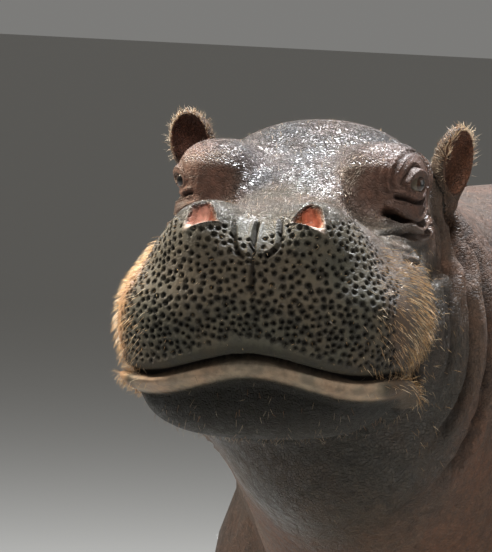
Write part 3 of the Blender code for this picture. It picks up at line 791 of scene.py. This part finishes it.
# later tints lie over earlier ones
tint("belly", 0.8 * belly * ease((0.35 - up) / 0.9))
tint("feet", ease((0.14 - points[:, 2]) / 0.10))
tint("neck", ease((0.95 - np.linalg.norm(near - (0.05, 0.15, -0.25), axis=1)) / 0.35))
tint("cheek", 0.9 * ease((0.16 - y) / 0.12) * onHead)
tint("crown", onHead * ease((faceUp - 0.15) / 0.5) * ease((z + 0.10) / 0.06))
tint("bridge", onHead * ease((faceUp - 0.1) / 0.5) * ease((-0.05 - y) / 0.08) * ease((z + 0.16) / 0.06))
behindEyes = onHead * ease((0.10 - np.abs(y - 0.09)) / 0.05)
tint("neck", 0.8 * behindEyes * ease((wide - 0.17) / 0.03) * ease((z + 0.16) / 0.06))
tint("brow", onHead * nearBrow * ease((z + 0.10) / 0.05))
besideMuzzle = 0.85 * onHead * ease((-0.14 - y) / 0.08)
tint("flank", besideMuzzle * ease((wide - 0.165) / 0.05) * ease((-0.09 - z) / 0.10))
# painted light: golden skin on the animal's right flank, painted much lighter than the left where light falls
# on it
tint("flankPaintedLight", besideMuzzle * ease((-x - 0.165) / 0.05) * ease((-0.05 - z) / 0.08))
tint("muzzle", muzzleFront)
tint("fold", 0.8 * onHead * ease(1.5 - np.linalg.norm(pouchSpot + (0, 0, 1.35), axis=1)))
tint("pouch", onHead * ease(1.35 - np.linalg.norm(pouchSpot - (0, 0, 0.15), axis=1)))
# painted shade: the upper lip's edge darkened towards the mouth's line, where the lip turns down away from
# the light
tint("lipEdgePaintedShade", 0.9 * onHead * forward * ease((0.034 - dz) / 0.026) * ease((dz + 0.002) / 0.004))
lowerLip = onHead * forward * ease((0.002 - dz) / 0.004) * ease((dz + 0.039) / 0.008)
tint("lip", lowerLip * ease((0.212 - wide) / 0.02))
# painted shade: the chin under the lower lip, where shadow falls, painted near black
tint("chin", chin * ease((0.02 - y) / 0.14) * (z > -0.55))
# painted highlight: pale rim skin, painted bright along the nostrils' lower edges only, where light falls
tint("rim", 0.85 * saved["nostrilRim"])
tint("lining", inNostril)
# painted light and shade in the nostrils: paler where a wall is lit, darker in the shaded top and inner side,
# and not mirrored between the two
tint("liningPaintedLight", inNostril * (0.25 + ease((0.15 - nostrilSide) / 0.4)) * (x < 0))
tint("liningPaintedShade", 0.85 * inNostril * ease((nostrilSide - 0.10) / 0.4) * (0.5 + 0.5 * (x > 0)))
tint("liningPaintedLight", 0.8 * inNostril * ease((-0.45 - saved["nostrilHeight"]) / 0.3) * (x > 0))
tint("lidRim", 0.8 * bell(saved["eyeRim"] - 0.05, 0.16))
tint("earOut", np.maximum(earWeight, 0.8 * earFoot))
tint("earIn", earInside)
# painted shade: the right ear's hollow painted darker than the left's
tint("earPaintedShade", 0.9 * earInside * (x < 0))
nape = ease((y - 0.12) / 0.10) * ease((up - 0.1) / 0.5)
nape = nape * ease((1.15 - np.linalg.norm(near, axis=1)) / 0.4) * (1 - earWeight)
tone *= (1 - 0.5 * nape)[:, None]
toneLayer = mesh.attributes.new("tone", "FLOAT_COLOR", "POINT")
toneLayer.data.foreach_set("color", np.hstack((tone, np.ones((len(tone), 1)))).astype(np.float32).ravel())

# wet on top of the head, in the nostrils and by the eyes; drier on the muzzle's front, brows and ears
wet = ease((faceUp - 0.05) / 0.5) * onHead * ease((z + 0.16) / 0.10)
wet = np.maximum(0.45 * onHead * (1 - 0.7 * ease((y - 0.08) / 0.10)), wet)
wet = np.maximum(wet, np.maximum(inNostril, 0.8 * (saved["eyeRim"] < 0.1)))
wet = wet * (1 - 0.7 * forward * ease((-0.010 - z) / 0.03)) * (1 - 0.8 * earWeight) * (1 - 0.7 * nearBrow)
wet = wet * (1 - 0.15 * ease((z - 0.035) / 0.03) * onHead)
attribute(mesh, "wet", wet)

# cracked on the crown and the chin, smooth round the eyes and on the muzzle's front
rough = ease(faceUp / 0.5) * onHead * ease((z + 0.14) / 0.08)
smoother = ease(2.4 - np.linalg.norm((eyeSpot + (-0.012, 0, 0.02)) / (0.045, 0.060, 0.050), axis=1))
smoother = np.maximum(smoother, 1.4 * inNostril)
rough = np.maximum(rough, 0.35 * (1 - forward * onHead)) * (1 + 0.5 * ease((z - 0.03) / 0.03) * onHead)
rough = np.maximum(rough * (1 - 0.85 * muzzleFront), 0.7 * chin * (y < 0.02))
attribute(mesh, "cracked", rough * (1 - 0.7 * smoother * onHead))
attribute(mesh, "body", 1 - onHead)
folded = ease((y + 0.14) / 0.08) * ease((0.02 - z) / 0.06) * (np.linalg.norm(near, axis=1) < 0.9)
attribute(mesh, "folded", folded * (1 - smoother))
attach(hide, "root")
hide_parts(*bodyNodes, "ear_left", "ear_right")
triangles = sum(len(face.vertices) - 2 for face in mesh.polygons)
say("skin finished,", triangles, "triangles")


# eyeballs with a slight swelling over the iris
eyeball = {"segments": 64, "rings": 40, "cornea": 0.0020, "corneaAngle": 26}
for side, name in ((1, "left"), (-1, "right")):
    centre = eyeFrame(side)[0]
    shape = bmesh.new()
    bmesh.ops.create_uvsphere(
        shape, u_segments=eyeball["segments"], v_segments=eyeball["rings"], radius=pose["eyeRadius"]
    )
    look = Vector(eyes["look"][name]) * Vector((side, 1, 1))
    turn = Vector((0, 0, 1)).rotation_difference(head.to_3x3() @ look.normalized()).to_matrix().to_4x4()
    irises = []
    for vertex in shape.verts:
        angle = math.degrees(vertex.co.angle(Vector((0, 0, 1))))
        irises.append(angle)
        vertex.co *= 1 + eyeball["cornea"] / pose["eyeRadius"] * float(bell(angle, eyeball["corneaAngle"]))
    bmesh.ops.transform(shape, matrix=Matrix.Translation(head @ Vector(centre)) @ turn, verts=shape.verts)
    mesh = written(shape, bpy.data.meshes.new("eyeball_" + name))
    smoothFaces(mesh)
    attribute(mesh, "iris", np.array(irises) / 90)  # 0 in front, 1 at the sides
    ball = addObject("eyeball_" + name, mesh)
    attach(ball, "root")
    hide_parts("eye_" + name)


# toenails: domed horn, set into the front of each toe
nail = {"wide": 0.0225, "thick": 0.013, "tall": 0.027, "reach": 0.157, "height": 0.039, "lean": -18,
        "subdivisions": 3}
shape = bmesh.new()
for footX, footY, angle in toePlaces:
    place = (
        Matrix.Translation(Vector(bodyShift) + Vector((footX, footY, 0)))
        @ Matrix.Rotation(angle, 4, "Z")
        @ Matrix.Translation((0, -nail["reach"], nail["height"]))
        @ Matrix.Rotation(math.radians(nail["lean"]), 4, "X")
        @ Matrix.Diagonal((nail["wide"], nail["thick"], nail["tall"], 1))
    )
    bmesh.ops.create_icosphere(shape, subdivisions=nail["subdivisions"], radius=1, matrix=place)
nails = addObject("toenails", written(shape, bpy.data.meshes.new("toenails")))
smoothFaces(nails.data)
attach(nails, "root")
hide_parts(*[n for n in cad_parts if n.startswith(("forenail", "hindnail"))])
say("eyes and toenails made")


# bristles: tapered spikes rooted in the skin
mesh = hide.data
skinPoints, skinNormals = meshPoints(mesh), meshNormals(mesh)
counts = len(mesh.polygons)
faceArea, corners = np.empty(counts), np.empty(counts, np.int32)
mesh.polygons.foreach_get("area", faceArea)
mesh.polygons.foreach_get("loop_start", corners)
loopPoints = np.empty(len(mesh.loops), np.int32)
mesh.loops.foreach_get("vertex_index", loopPoints)
faceCorners = np.stack([loopPoints[corners + step] for step in range(3)], 1)
facePlace = skinPoints[faceCorners].mean(1)
faceNormal = skinNormals[faceCorners].mean(1)
faceNear = toHead(facePlace)
faceNearNormal = faceNormal @ headBack[:3, :3].T


def sphereUnwrap(points):
    x, y, z = (toHead(points) - (0, -0.05, -0.16)).T
    turn = np.arctan2(x, -z) / (2 * math.pi) + 0.5
    return np.stack((turn, np.arctan2(np.hypot(x, z), -y) / math.pi), 1)


def tubeUnwrap(points):
    x, y, z = points.T
    return np.stack((np.arctan2(x, 0.8 - z) / (2 * math.pi) + 0.5, (y - y.min()) / (np.ptp(y) + 1e-6)), 1)


def bristles(name, sets, unwrap, material, seed):  # each a three-sided spike that bends as it grows
    rng = np.random.default_rng(seed)
    rootPlace, rootNormal, rootLie, rootLong, rootThick, rootBend = [], [], [], [], [], []
    for kind in sets:
        chance = faceArea * np.clip(kind["where"], 0, 1)
        picked = rng.choice(counts, kind["count"], p=chance / chance.sum())
        share = rng.dirichlet((1, 1, 1), kind["count"])[:, :, None]
        rootPlace.append((skinPoints[faceCorners[picked]] * share).sum(1))
        rootNormal.append(faceNormal[picked])
        lie = np.asarray(kind["lie"], float)
        lie = lie[picked] if lie.ndim == 2 else np.tile(lie, (kind["count"], 1))
        rootLie.append(lie + rng.normal(0, kind["stray"], (kind["count"], 3)))
        low, high = kind["length"]
        rootLong.append(rng.uniform(low, high, kind["count"]))
        rootThick.append(np.full(kind["count"], kind["thick"]))
        rootBend.append(np.tile((kind["stand"], kind["bend"]), (kind["count"], 1)))
    place, normal, lie = (np.vstack(rows) for rows in (rootPlace, rootNormal, rootLie))
    long, thick, bend = np.hstack(rootLong), np.hstack(rootThick), np.vstack(rootBend)
    lie -= (lie * normal).sum(1)[:, None] * normal
    lie /= np.linalg.norm(lie, axis=1)[:, None] + 1e-9
    start = normal * bend[:, :1] + lie * (1 - bend[:, :1])
    start /= np.linalg.norm(start, axis=1)[:, None]
    side = np.cross(start, lie + 0.3 * normal)
    side /= np.linalg.norm(side, axis=1)[:, None] + 1e-9
    other = np.cross(start, side)
    many, rings = len(place), 4
    points = np.empty((many, rings * 3 + 1, 3))
    for ring in range(rings + 1):
        t = ring / rings
        middle = place - 0.0015 * normal + start * (long * t)[:, None]
        middle += (lie - 0.35 * normal) * (long * bend[:, 1] * t * t)[:, None]
        if ring == rings:
            points[:, -1] = middle
            continue
        for corner in range(3):
            angle = 2 * math.pi * corner / 3
            across = side * math.cos(angle) + other * math.sin(angle)
            points[:, ring * 3 + corner] = middle + across * (thick * (1 - 0.75 * t))[:, None]
    spike = [(2, 1, 0)]
    for ring in range(rings - 1):
        low = ring * 3
        spike += [(low + k, low + (k + 1) % 3, low + 3 + (k + 1) % 3, low + 3 + k) for k in range(3)]
    last = (rings - 1) * 3
    spike += [(last + k, last + (k + 1) % 3, rings * 3) for k in range(3)]
    each = rings * 3 + 1
    faces = [tuple(each * hair + k for k in face) for hair in range(many) for face in spike]
    made = bpy.data.meshes.new(name)
    made.from_pydata(points.reshape(-1, 3).tolist(), [], faces)
    along = np.tile([min(k // 3, rings) / rings for k in range(each)], many)
    attribute(made, "along", along)
    attribute(made, "warm", np.repeat(rng.random(many), each))
    spot = np.repeat(unwrap(place), each, 0)
    around = np.tile([2 * math.pi * (k % 3) / 3 for k in range(each)], many)
    patch = np.stack((0.0012 * np.cos(around), 0.003 * (along - 0.5)), 1)
    made.uv_layers.new(name="OFBake")
    order = np.empty(len(made.loops), np.int32)
    made.loops.foreach_get("vertex_index", order)
    made.uv_layers["OFBake"].data.foreach_set("uv", np.clip(spot + patch, 0.002, 0.998)[order].ravel())
    made.materials.append(material)
    made.update()
    hair = addObject(name, made)
    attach(hair, "root")
    say(name, many, "bristles")
    return hair


# finishes
def nodeMaker(name):
    material = bpy.data.materials.new(name)
    material.use_nodes = True
    tree = material.node_tree
    tree.nodes.clear()

    def make(kind, inputs=None, **settings):
        node = tree.nodes.new(kind)
        for key, value in settings.items():
            setattr(node, key, value)
        for key, value in (inputs or {}).items():
            if isinstance(value, bpy.types.NodeSocket):
                tree.links.new(value, node.inputs[key])
            else:
                node.inputs[key].default_value = value
        return node

    return material, make


def mathNode(make, operation, a, b=0.0, clamp=False):
    return make("ShaderNodeMath", {0: a, 1: b}, operation=operation, use_clamp=clamp).outputs[0]


def timesNode(make, a, b, clamp=False):
    return mathNode(make, "MULTIPLY", a, b, clamp)


def stepNode(make, value, low, high, toLow=0.0, toHigh=1.0):
    inputs = {"Value": value, "From Min": low, "From Max": high, "To Min": toLow, "To Max": toHigh}
    return make("ShaderNodeMapRange", inputs, interpolation_type="SMOOTHSTEP").outputs[0]


def mixNode(make, share, a, b, blend="MIX"):
    return make("ShaderNodeMix", {0: share, 6: a, 7: b}, data_type="RGBA", blend_type=blend).outputs[2]


def noiseNode(make, place, scale, detail, rough=0.5, distort=0.0, socket="Fac"):
    inputs = {"Vector": place, "Scale": scale, "Detail": detail, "Roughness": rough, "Distortion": distort}
    return make("ShaderNodeTexNoise", inputs).outputs[socket]


def stretchNode(make, place, tall):
    return make("ShaderNodeMapping", {"Vector": place, "Scale": (1.0, 1.0, tall)}).outputs[0]


def attributeNode(make, name, socket="Fac"):
    return make("ShaderNodeAttribute", attribute_name=name).outputs[socket]


def bumpNode(make, height, depth, strength=1.0, normal=None):
    inputs = {"Height": height, "Distance": depth, "Strength": strength}
    if normal is not None:
        inputs["Normal"] = normal
    return make("ShaderNodeBump", inputs).outputs[0]


# the crack, crease, dip and pit tones are painted shade, mixed in at their shade shares
hideFinish = {
    "crackSize": 170.0, "crackDepth": 0.0028, "wrinkleSize": 46.0, "wrinkleDepth": 0.0050, "swellSize": 17.0,
    "swellDepth": 0.012, "foldSize": 9.0, "foldDepth": 0.026, "pleatSize": 44.0, "pleatDepth": 0.010,
    "grainSize": 420.0, "grainDepth": 0.0006, "dipDepth": 0.0060, "pitDepth": 0.0030,
    "cloudSize": 9.0, "blotchSize": 70.0, "warm": (1.12, 0.98, 0.92, 1), "cool": (0.86, 0.91, 0.95, 1),
    "crackTone": (0.020, 0.014, 0.010, 1), "crackShade": 0.55, "creaseTone": (0.007, 0.004, 0.003, 1),
    "creaseShade": 0.86, "dipTone": (0.012, 0.011, 0.007, 1), "dipShade": 0.20,
    "pitTone": (0.006, 0.005, 0.004, 1), "pitShade": 0.84,
    "dryRoughness": 0.66, "wetRoughness": 0.13, "gloss": 0.34,
}


def hideMaterial():
    material, make = nodeMaker("hide")
    look = hideFinish
    place = make("ShaderNodeTexCoord").outputs["Object"]
    tone = attributeNode(make, "tone", "Color")
    pit, paintedCreaseShade, folded = (attributeNode(make, name) for name in ("pit", "paintedCreaseShade", "folded"))
    wet, cracked, body = (attributeNode(make, name) for name in ("wet", "cracked", "body"))

    # patterns: cracks between small plates, wrinkles, grain, and slow changes of colour
    warp = noiseNode(make, place, 34.0, 3.0, socket="Color")
    warped = make("ShaderNodeMix", {0: 0.022, 4: place, 5: warp}, data_type="VECTOR").outputs[1]
    cells = make(
        "ShaderNodeTexVoronoi", {"Vector": warped, "Scale": look["crackSize"]}, feature="DISTANCE_TO_EDGE"
    ).outputs["Distance"]
    cracks = stepNode(make, cells, 0.0, 0.16)
    wrinkles = noiseNode(make, warped, look["wrinkleSize"], 5.0, 0.62, 0.5)
    grain = noiseNode(make, place, look["grainSize"], 3.0)
    cloud = noiseNode(make, place, look["cloudSize"], 5.0, 0.6)
    blotch = noiseNode(make, place, look["blotchSize"], 4.0)
    ragged = mathNode(make, "ADD", pit, stepNode(make, blotch, 0.3, 0.7, -0.12, 0.12))
    ragged = mathNode(make, "ADD", ragged, stepNode(make, grain, 0.3, 0.7, -0.07, 0.07))
    dot = stepNode(make, ragged, 0.34, 0.05)
    dip = stepNode(make, ragged, 0.66, 0.16)

    # colour: the skin's own tone, clouded and speckled, then painted shade in cracks, creases, the dips round
    # the pits and the pits
    warm = mixNode(make, 1.0, tone, look["warm"], "MULTIPLY")
    cool = mixNode(make, 1.0, tone, look["cool"], "MULTIPLY")
    colour = mixNode(make, stepNode(make, cloud, 0.36, 0.64), cool, warm)
    speckle = stepNode(make, blotch, 0.30, 0.70, 0.72, 1.22)
    speckled = make("ShaderNodeCombineColor", {0: speckle, 1: speckle, 2: speckle}).outputs[0]
    colour = mixNode(make, 1.0, colour, speckled, "MULTIPLY")
    inCrack = mathNode(make, "SUBTRACT", 1.0, cracks)
    inCrack = timesNode(make, inCrack, timesNode(make, cracked, look["crackShade"]))
    colour = mixNode(make, inCrack, colour, look["crackTone"])
    colour = mixNode(make, timesNode(make, paintedCreaseShade, look["creaseShade"], True), colour, look["creaseTone"])
    colour = mixNode(make, timesNode(make, dip, look["dipShade"]), colour, look["dipTone"])
    colour = mixNode(make, timesNode(make, dot, look["pitShade"]), colour, look["pitTone"])

    # relief, from the widest folds to the finest grain
    folds = noiseNode(make, stretchNode(make, place, 0.30), look["foldSize"], 4.0, 0.55, 0.8)
    pleats = noiseNode(make, stretchNode(make, place, 0.24), look["pleatSize"], 4.0, distort=0.7)
    swell = noiseNode(make, place, look["swellSize"], 3.0, distort=0.4)
    relief = (
        (timesNode(make, folds, body), "foldDepth"),
        (timesNode(make, pleats, folded), "pleatDepth"),
        (timesNode(make, swell, mathNode(make, "MAXIMUM", cracked, body)), "swellDepth"),
        (timesNode(make, wrinkles, stepNode(make, cracked, 0.0, 1.0, 0.30, 1.0)), "wrinkleDepth"),
        (timesNode(make, cracks, mathNode(make, "ADD", cracked, 0.12)), "crackDepth"),
        (timesNode(make, dip, -1.0), "dipDepth"),
        (timesNode(make, dot, -1.0), "pitDepth"),
        (grain, "grainDepth"),
    )
    normal = None
    for height, depth in relief:
        normal = bumpNode(make, height, look[depth], 1.0, normal)

    # wet hide shines, dry hide, pits and creases don't
    shine = stepNode(make, wet, 0.0, 1.0, look["dryRoughness"], look["wetRoughness"])
    shine = mathNode(make, "ADD", shine, stepNode(make, blotch, 0.35, 0.65, -0.07, 0.09))
    dull = timesNode(make, mathNode(make, "ADD", dot, paintedCreaseShade), 0.45)
    shader = make("ShaderNodeBsdfPrincipled", {
        "Base Color": colour, "Roughness": mathNode(make, "ADD", shine, dull, True), "Normal": normal,
        "Specular IOR Level": look["gloss"],
    })
    make("ShaderNodeOutputMaterial", {"Surface": shader.outputs[0]})
    return material


eyeFinish = {
    "fibreSize": 420.0, "irisDark": (0.014, 0.006, 0.003, 1), "irisPale": (0.050, 0.021, 0.010, 1),
    "whiteDark": (0.10, 0.080, 0.058, 1), "whitePale": (0.17, 0.14, 0.10, 1),
    "pupil": (0.002, 0.002, 0.002, 1), "roughness": 0.16, "coat": 0.15, "coatRoughness": 0.03, "coatIor": 1.4,
}


def eyeMaterial():
    material, make = nodeMaker("eyeball")
    angle = attributeNode(make, "iris")
    place = make("ShaderNodeTexCoord").outputs["Object"]
    fibre = noiseNode(make, place, eyeFinish["fibreSize"], 3.0)
    iris = mixNode(make, fibre, eyeFinish["irisDark"], eyeFinish["irisPale"])
    white = mixNode(make, fibre, eyeFinish["whiteDark"], eyeFinish["whitePale"])
    colour = mixNode(make, stepNode(make, angle, 0.33, 0.39), iris, white)
    colour = mixNode(make, stepNode(make, angle, 0.185, 0.165), colour, eyeFinish["pupil"])
    shader = make("ShaderNodeBsdfPrincipled", {
        "Base Color": colour, "Roughness": eyeFinish["roughness"], "Coat Weight": eyeFinish["coat"],
        "Coat Roughness": eyeFinish["coatRoughness"], "Coat IOR": eyeFinish["coatIor"],
    })
    make("ShaderNodeOutputMaterial", {"Surface": shader.outputs[0]})
    return material


nailFinish = {"streakSize": 260.0, "streakTall": 0.18, "streakDepth": 0.0006, "roughness": 0.42,
              "dark": (0.040, 0.030, 0.024, 1), "pale": (0.170, 0.130, 0.095, 1)}


def nailMaterial():
    material, make = nodeMaker("horn")
    place = make("ShaderNodeTexCoord").outputs["Object"]
    place = stretchNode(make, place, nailFinish["streakTall"])
    streak = noiseNode(make, place, nailFinish["streakSize"], 4.0)
    colour = mixNode(make, streak, nailFinish["dark"], nailFinish["pale"])
    inputs = {"Base Color": colour, "Roughness": nailFinish["roughness"]}
    inputs["Normal"] = bumpNode(make, streak, nailFinish["streakDepth"])
    shader = make("ShaderNodeBsdfPrincipled", inputs)
    make("ShaderNodeOutputMaterial", {"Surface": shader.outputs[0]})
    return material


bristleTones = {  # at the root, at the tip and of the odd ones
    "golden": ((0.22, 0.11, 0.045), (0.66, 0.42, 0.20), (0.80, 0.62, 0.40)),
    "pale": ((0.20, 0.13, 0.08), (0.62, 0.50, 0.36), (0.30, 0.15, 0.07)),
    "dark": ((0.03, 0.02, 0.015), (0.10, 0.065, 0.045), (0.30, 0.20, 0.12)),
}


def bristleMaterial(name):
    material, make = nodeMaker(name + "Bristle")
    rootColour, tipColour, oddColour = bristleTones[name]
    along, warm = attributeNode(make, "along"), attributeNode(make, "warm")
    colour = mixNode(make, stepNode(make, along, 0.0, 0.8), (*rootColour, 1), (*tipColour, 1))
    colour = mixNode(make, stepNode(make, warm, 0.62, 0.9), colour, (*oddColour, 1))
    shader = make("ShaderNodeBsdfPrincipled", {"Base Color": colour, "Roughness": 0.36})
    make("ShaderNodeOutputMaterial", {"Surface": shader.outputs[0]})
    return material


hide.data.materials.clear()
hide.data.materials.append(hideMaterial())
eyeLook = eyeMaterial()
for side in ("left", "right"):
    bpy.data.objects["eyeball_" + side].data.materials.append(eyeLook)
nails.data.materials.append(nailMaterial())
golden, pale, dark = (bristleMaterial(name) for name in ("golden", "pale", "dark"))

headTurnArray = np.array(head)[:3, :3]


def headWay(x, y, z):
    return headTurnArray @ np.array((x, y, z))


x, y, z = faceNear.T
dz = z - mouthHeight(x, y)
isHead = (np.linalg.norm(faceNear, axis=1) < 0.75) & (y < 0.25)
sideways = np.sign(x)[:, None] * headTurnArray[:, 0]
flankHair = isHead * ease((np.abs(x) - 0.165) / 0.05) * ease((-0.10 - y) / 0.08) * ease((dz + 0.030) / 0.02)
flankHair = flankHair * (0.35 + 0.65 * ease((y + 0.42) / 0.12))
flankHair = flankHair * ease((-0.04 - z - 0.4 * np.maximum(y + 0.32, 0)) / 0.05)
flankHair = flankHair * (1 + 2.2 * (x < 0))  # denser on the animal's right
cheekHair = isHead * ease((np.abs(x) - 0.16) / 0.05) * ease((0.10 - y) / 0.1) * ease((-0.09 - z) / 0.05)
cheekHair = cheekHair * (1 - ease((-0.20 - y) / 0.06) * ease((-dz - 0.005) / 0.02))
chinHair = isHead * ease((-dz - 0.03) / 0.03) * (y < -0.15)
frontHair = isHead * (dz > 0.01) * (y < -0.36) * (z < -0.02)
crownHair = isHead * ease((faceNearNormal[:, 2] - 0.2) / 0.4) * (z > -0.15)
headSets = [
    {"where": flankHair, "count": 2900, "length": (0.008, 0.021), "thick": 0.00040,
     "lie": 0.5 * sideways + headWay(0, -0.1, -0.9), "stray": 0.35, "stand": 0.62, "bend": 0.35},
    {"where": cheekHair, "count": 700, "length": (0.006, 0.016), "thick": 0.00036,
     "lie": headWay(0, 0.6, -0.7), "stray": 0.4, "stand": 0.5, "bend": 0.4},
    {"where": frontHair, "count": 240, "length": (0.004, 0.010), "thick": 0.00036,
     "lie": headWay(0, -0.2, -0.9), "stray": 0.5, "stand": 0.8, "bend": 0.2},
]
bristles("muzzle_bristles", headSets, sphereUnwrap, golden, 11)
crownSets = [
    {"where": crownHair, "count": 800, "length": (0.005, 0.013), "thick": 0.00032,
     "lie": headWay(0, 0.9, 0), "stray": 0.4, "stand": 0.5, "bend": 0.3},
]
bristles("crown_bristles", crownSets, sphereUnwrap, dark, 15)
chinSets = [
    {"where": chinHair, "count": 260, "length": (0.008, 0.018), "thick": 0.00034,
     "lie": headWay(0, -0.2, -0.9), "stray": 0.4, "stand": 0.7, "bend": 0.3},
]
bristles("chin_bristles", chinSets, sphereUnwrap, pale, 12)

earHair, backHair, earLie = np.zeros(counts), np.zeros(counts), np.zeros((counts, 3))
for side in ("left", "right"):
    local = toEar(facePlace, side)
    length = ears[side]["length"]
    cup = earCup(local, side)
    close = besideEar(local, side) < 0.75
    rim = close * bell(cup - 0.003, 0.0045) * ease((local[:, 2] / length - 0.30) / 0.5)
    earHair = np.maximum(earHair, rim)
    outside = close * (cup > 0.008) * (local[:, 2] > 0.02)
    backHair = np.maximum(backHair, outside * (0.25 + 0.75 * (local[:, 1] > 0.004)))
    outwards = (facePlace - np.array(earPlace(side) @ Vector((0, 0, 0.45 * length)))) * close[:, None]
    earLie += outwards / (np.linalg.norm(outwards, axis=1)[:, None] + 1e-9)
earSets = [
    {"where": earHair, "count": 1300, "length": (0.008, 0.020), "thick": 0.00040,
     "lie": earLie, "stray": 0.25, "stand": 0.15, "bend": 0.12},
    {"where": backHair, "count": 600, "length": (0.005, 0.010), "thick": 0.00034,
     "lie": earLie, "stray": 0.5, "stand": 0.5, "bend": 0.2},
]
bristles("ear_bristles", earSets, sphereUnwrap, pale, 13)

away = np.linalg.norm(faceNear, axis=1)
bodyHair = ease((away - 0.40) / 0.2) * (facePlace[:, 2] > 0.15)
tuft = {"top": 0.80, "behind": 1.36, "fade": 0.12}
onTail = facePlace[:, 1] > tuft["behind"] + bodyShift[1]
tailHair = onTail * ease((tuft["top"] - facePlace[:, 2]) / tuft["fade"]) * (np.abs(faceNormal[:, 0]) < 0.9)
bodySets = [
    {"where": bodyHair, "count": 2600, "length": (0.006, 0.013), "thick": 0.00040,
     "lie": (0, 0.9, -0.4), "stray": 0.3, "stand": 0.4, "bend": 0.3},
    {"where": tailHair, "count": 420, "length": (0.025, 0.055), "thick": 0.00060,
     "lie": (0, 0.2, -1), "stray": 0.25, "stand": 0.35, "bend": 0.3},
]
bristles("body_bristles", bodySets, tubeUnwrap, dark, 14)


# floor, light and camera
studio = {  # the side lamp stands on the floor's axes, the others on the head's
    "floor": 80.0, "floorColour": (0.44, 0.43, 0.41, 1), "sky": (0.84, 0.83, 0.80, 1), "skyStrength": 0.24,
    "key": {"at": (0.4, 1.75, 3.2), "size": 0.6, "power": 620, "spread": 180, "colour": (0.94, 0.97, 1.0)},
    "front": {"at": (0.2, -1.7, 3.3), "size": 1.0, "power": 7.0, "spread": 40, "colour": (1.0, 0.97, 0.91)},
    "side": {"at": (4.5, 2.5, 2.5), "size": 3.5, "power": 50, "spread": 180, "colour": (1.0, 0.98, 0.95)},
    "low": {"at": (-2.8, 0.7, 1.8), "size": 1.0, "power": 36, "spread": 60, "colour": (1.0, 0.88, 0.70)},
    "lens": 249.7, "aim": (-0.0023, -0.4970, -0.1028), "heading": 10.5, "lift": 8.0, "distance": 6.0,
}
shape = bmesh.new()
bmesh.ops.create_grid(shape, x_segments=1, y_segments=1, size=studio["floor"] / 2)
floor = addObject("floor", written(shape, bpy.data.meshes.new("floor")))
floor.location.z = -0.0005  # just under the soles
material, make = nodeMaker("floor")
shader = make("ShaderNodeBsdfPrincipled", {"Base Color": studio["floorColour"], "Roughness": 0.85})
make("ShaderNodeOutputMaterial", {"Surface": shader.outputs[0]})
floor.data.materials.append(material)

world = bpy.data.worlds.new("studio")
world.use_nodes = True
world.node_tree.nodes["Background"].inputs[0].default_value = studio["sky"]
world.node_tree.nodes["Background"].inputs[1].default_value = studio["skyStrength"]
scene.world = world
for name in ("key", "front", "low", "side"):
    made = studio[name]
    lamp = bpy.data.lights.new(name, "AREA")
    lamp.size, lamp.energy, lamp.color = made["size"], made["power"], made["colour"]
    lamp.spread = math.radians(made["spread"])
    holder = addObject(name, lamp)
    target = Vector((0, 0.2, 0.8)) if name == "side" else head @ Vector((0, -0.2, -0.15))
    spot = Vector(made["at"]) if name == "side" else head @ Vector(made["at"])
    facing = (target - spot).to_track_quat("-Z", "Y").to_matrix().to_4x4()
    holder.matrix_world = Matrix.Translation(spot) @ facing

lens = bpy.data.cameras.new("camera")
lens.sensor_fit, lens.sensor_width, lens.lens, lens.clip_end = "AUTO", 36, studio["lens"], 100
camera = addObject("camera", lens)
camera.matrix_world = (
    head
    @ Matrix.Translation(studio["aim"])
    @ Matrix.Rotation(math.radians(studio["heading"]), 4, "Z")
    @ Matrix.Rotation(math.radians(90 - studio["lift"]), 4, "X")
    @ Matrix.Translation((0, 0, studio["distance"]))
)
scene.camera = camera
scene.view_settings.view_transform = "Standard"

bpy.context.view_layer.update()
say("finished")
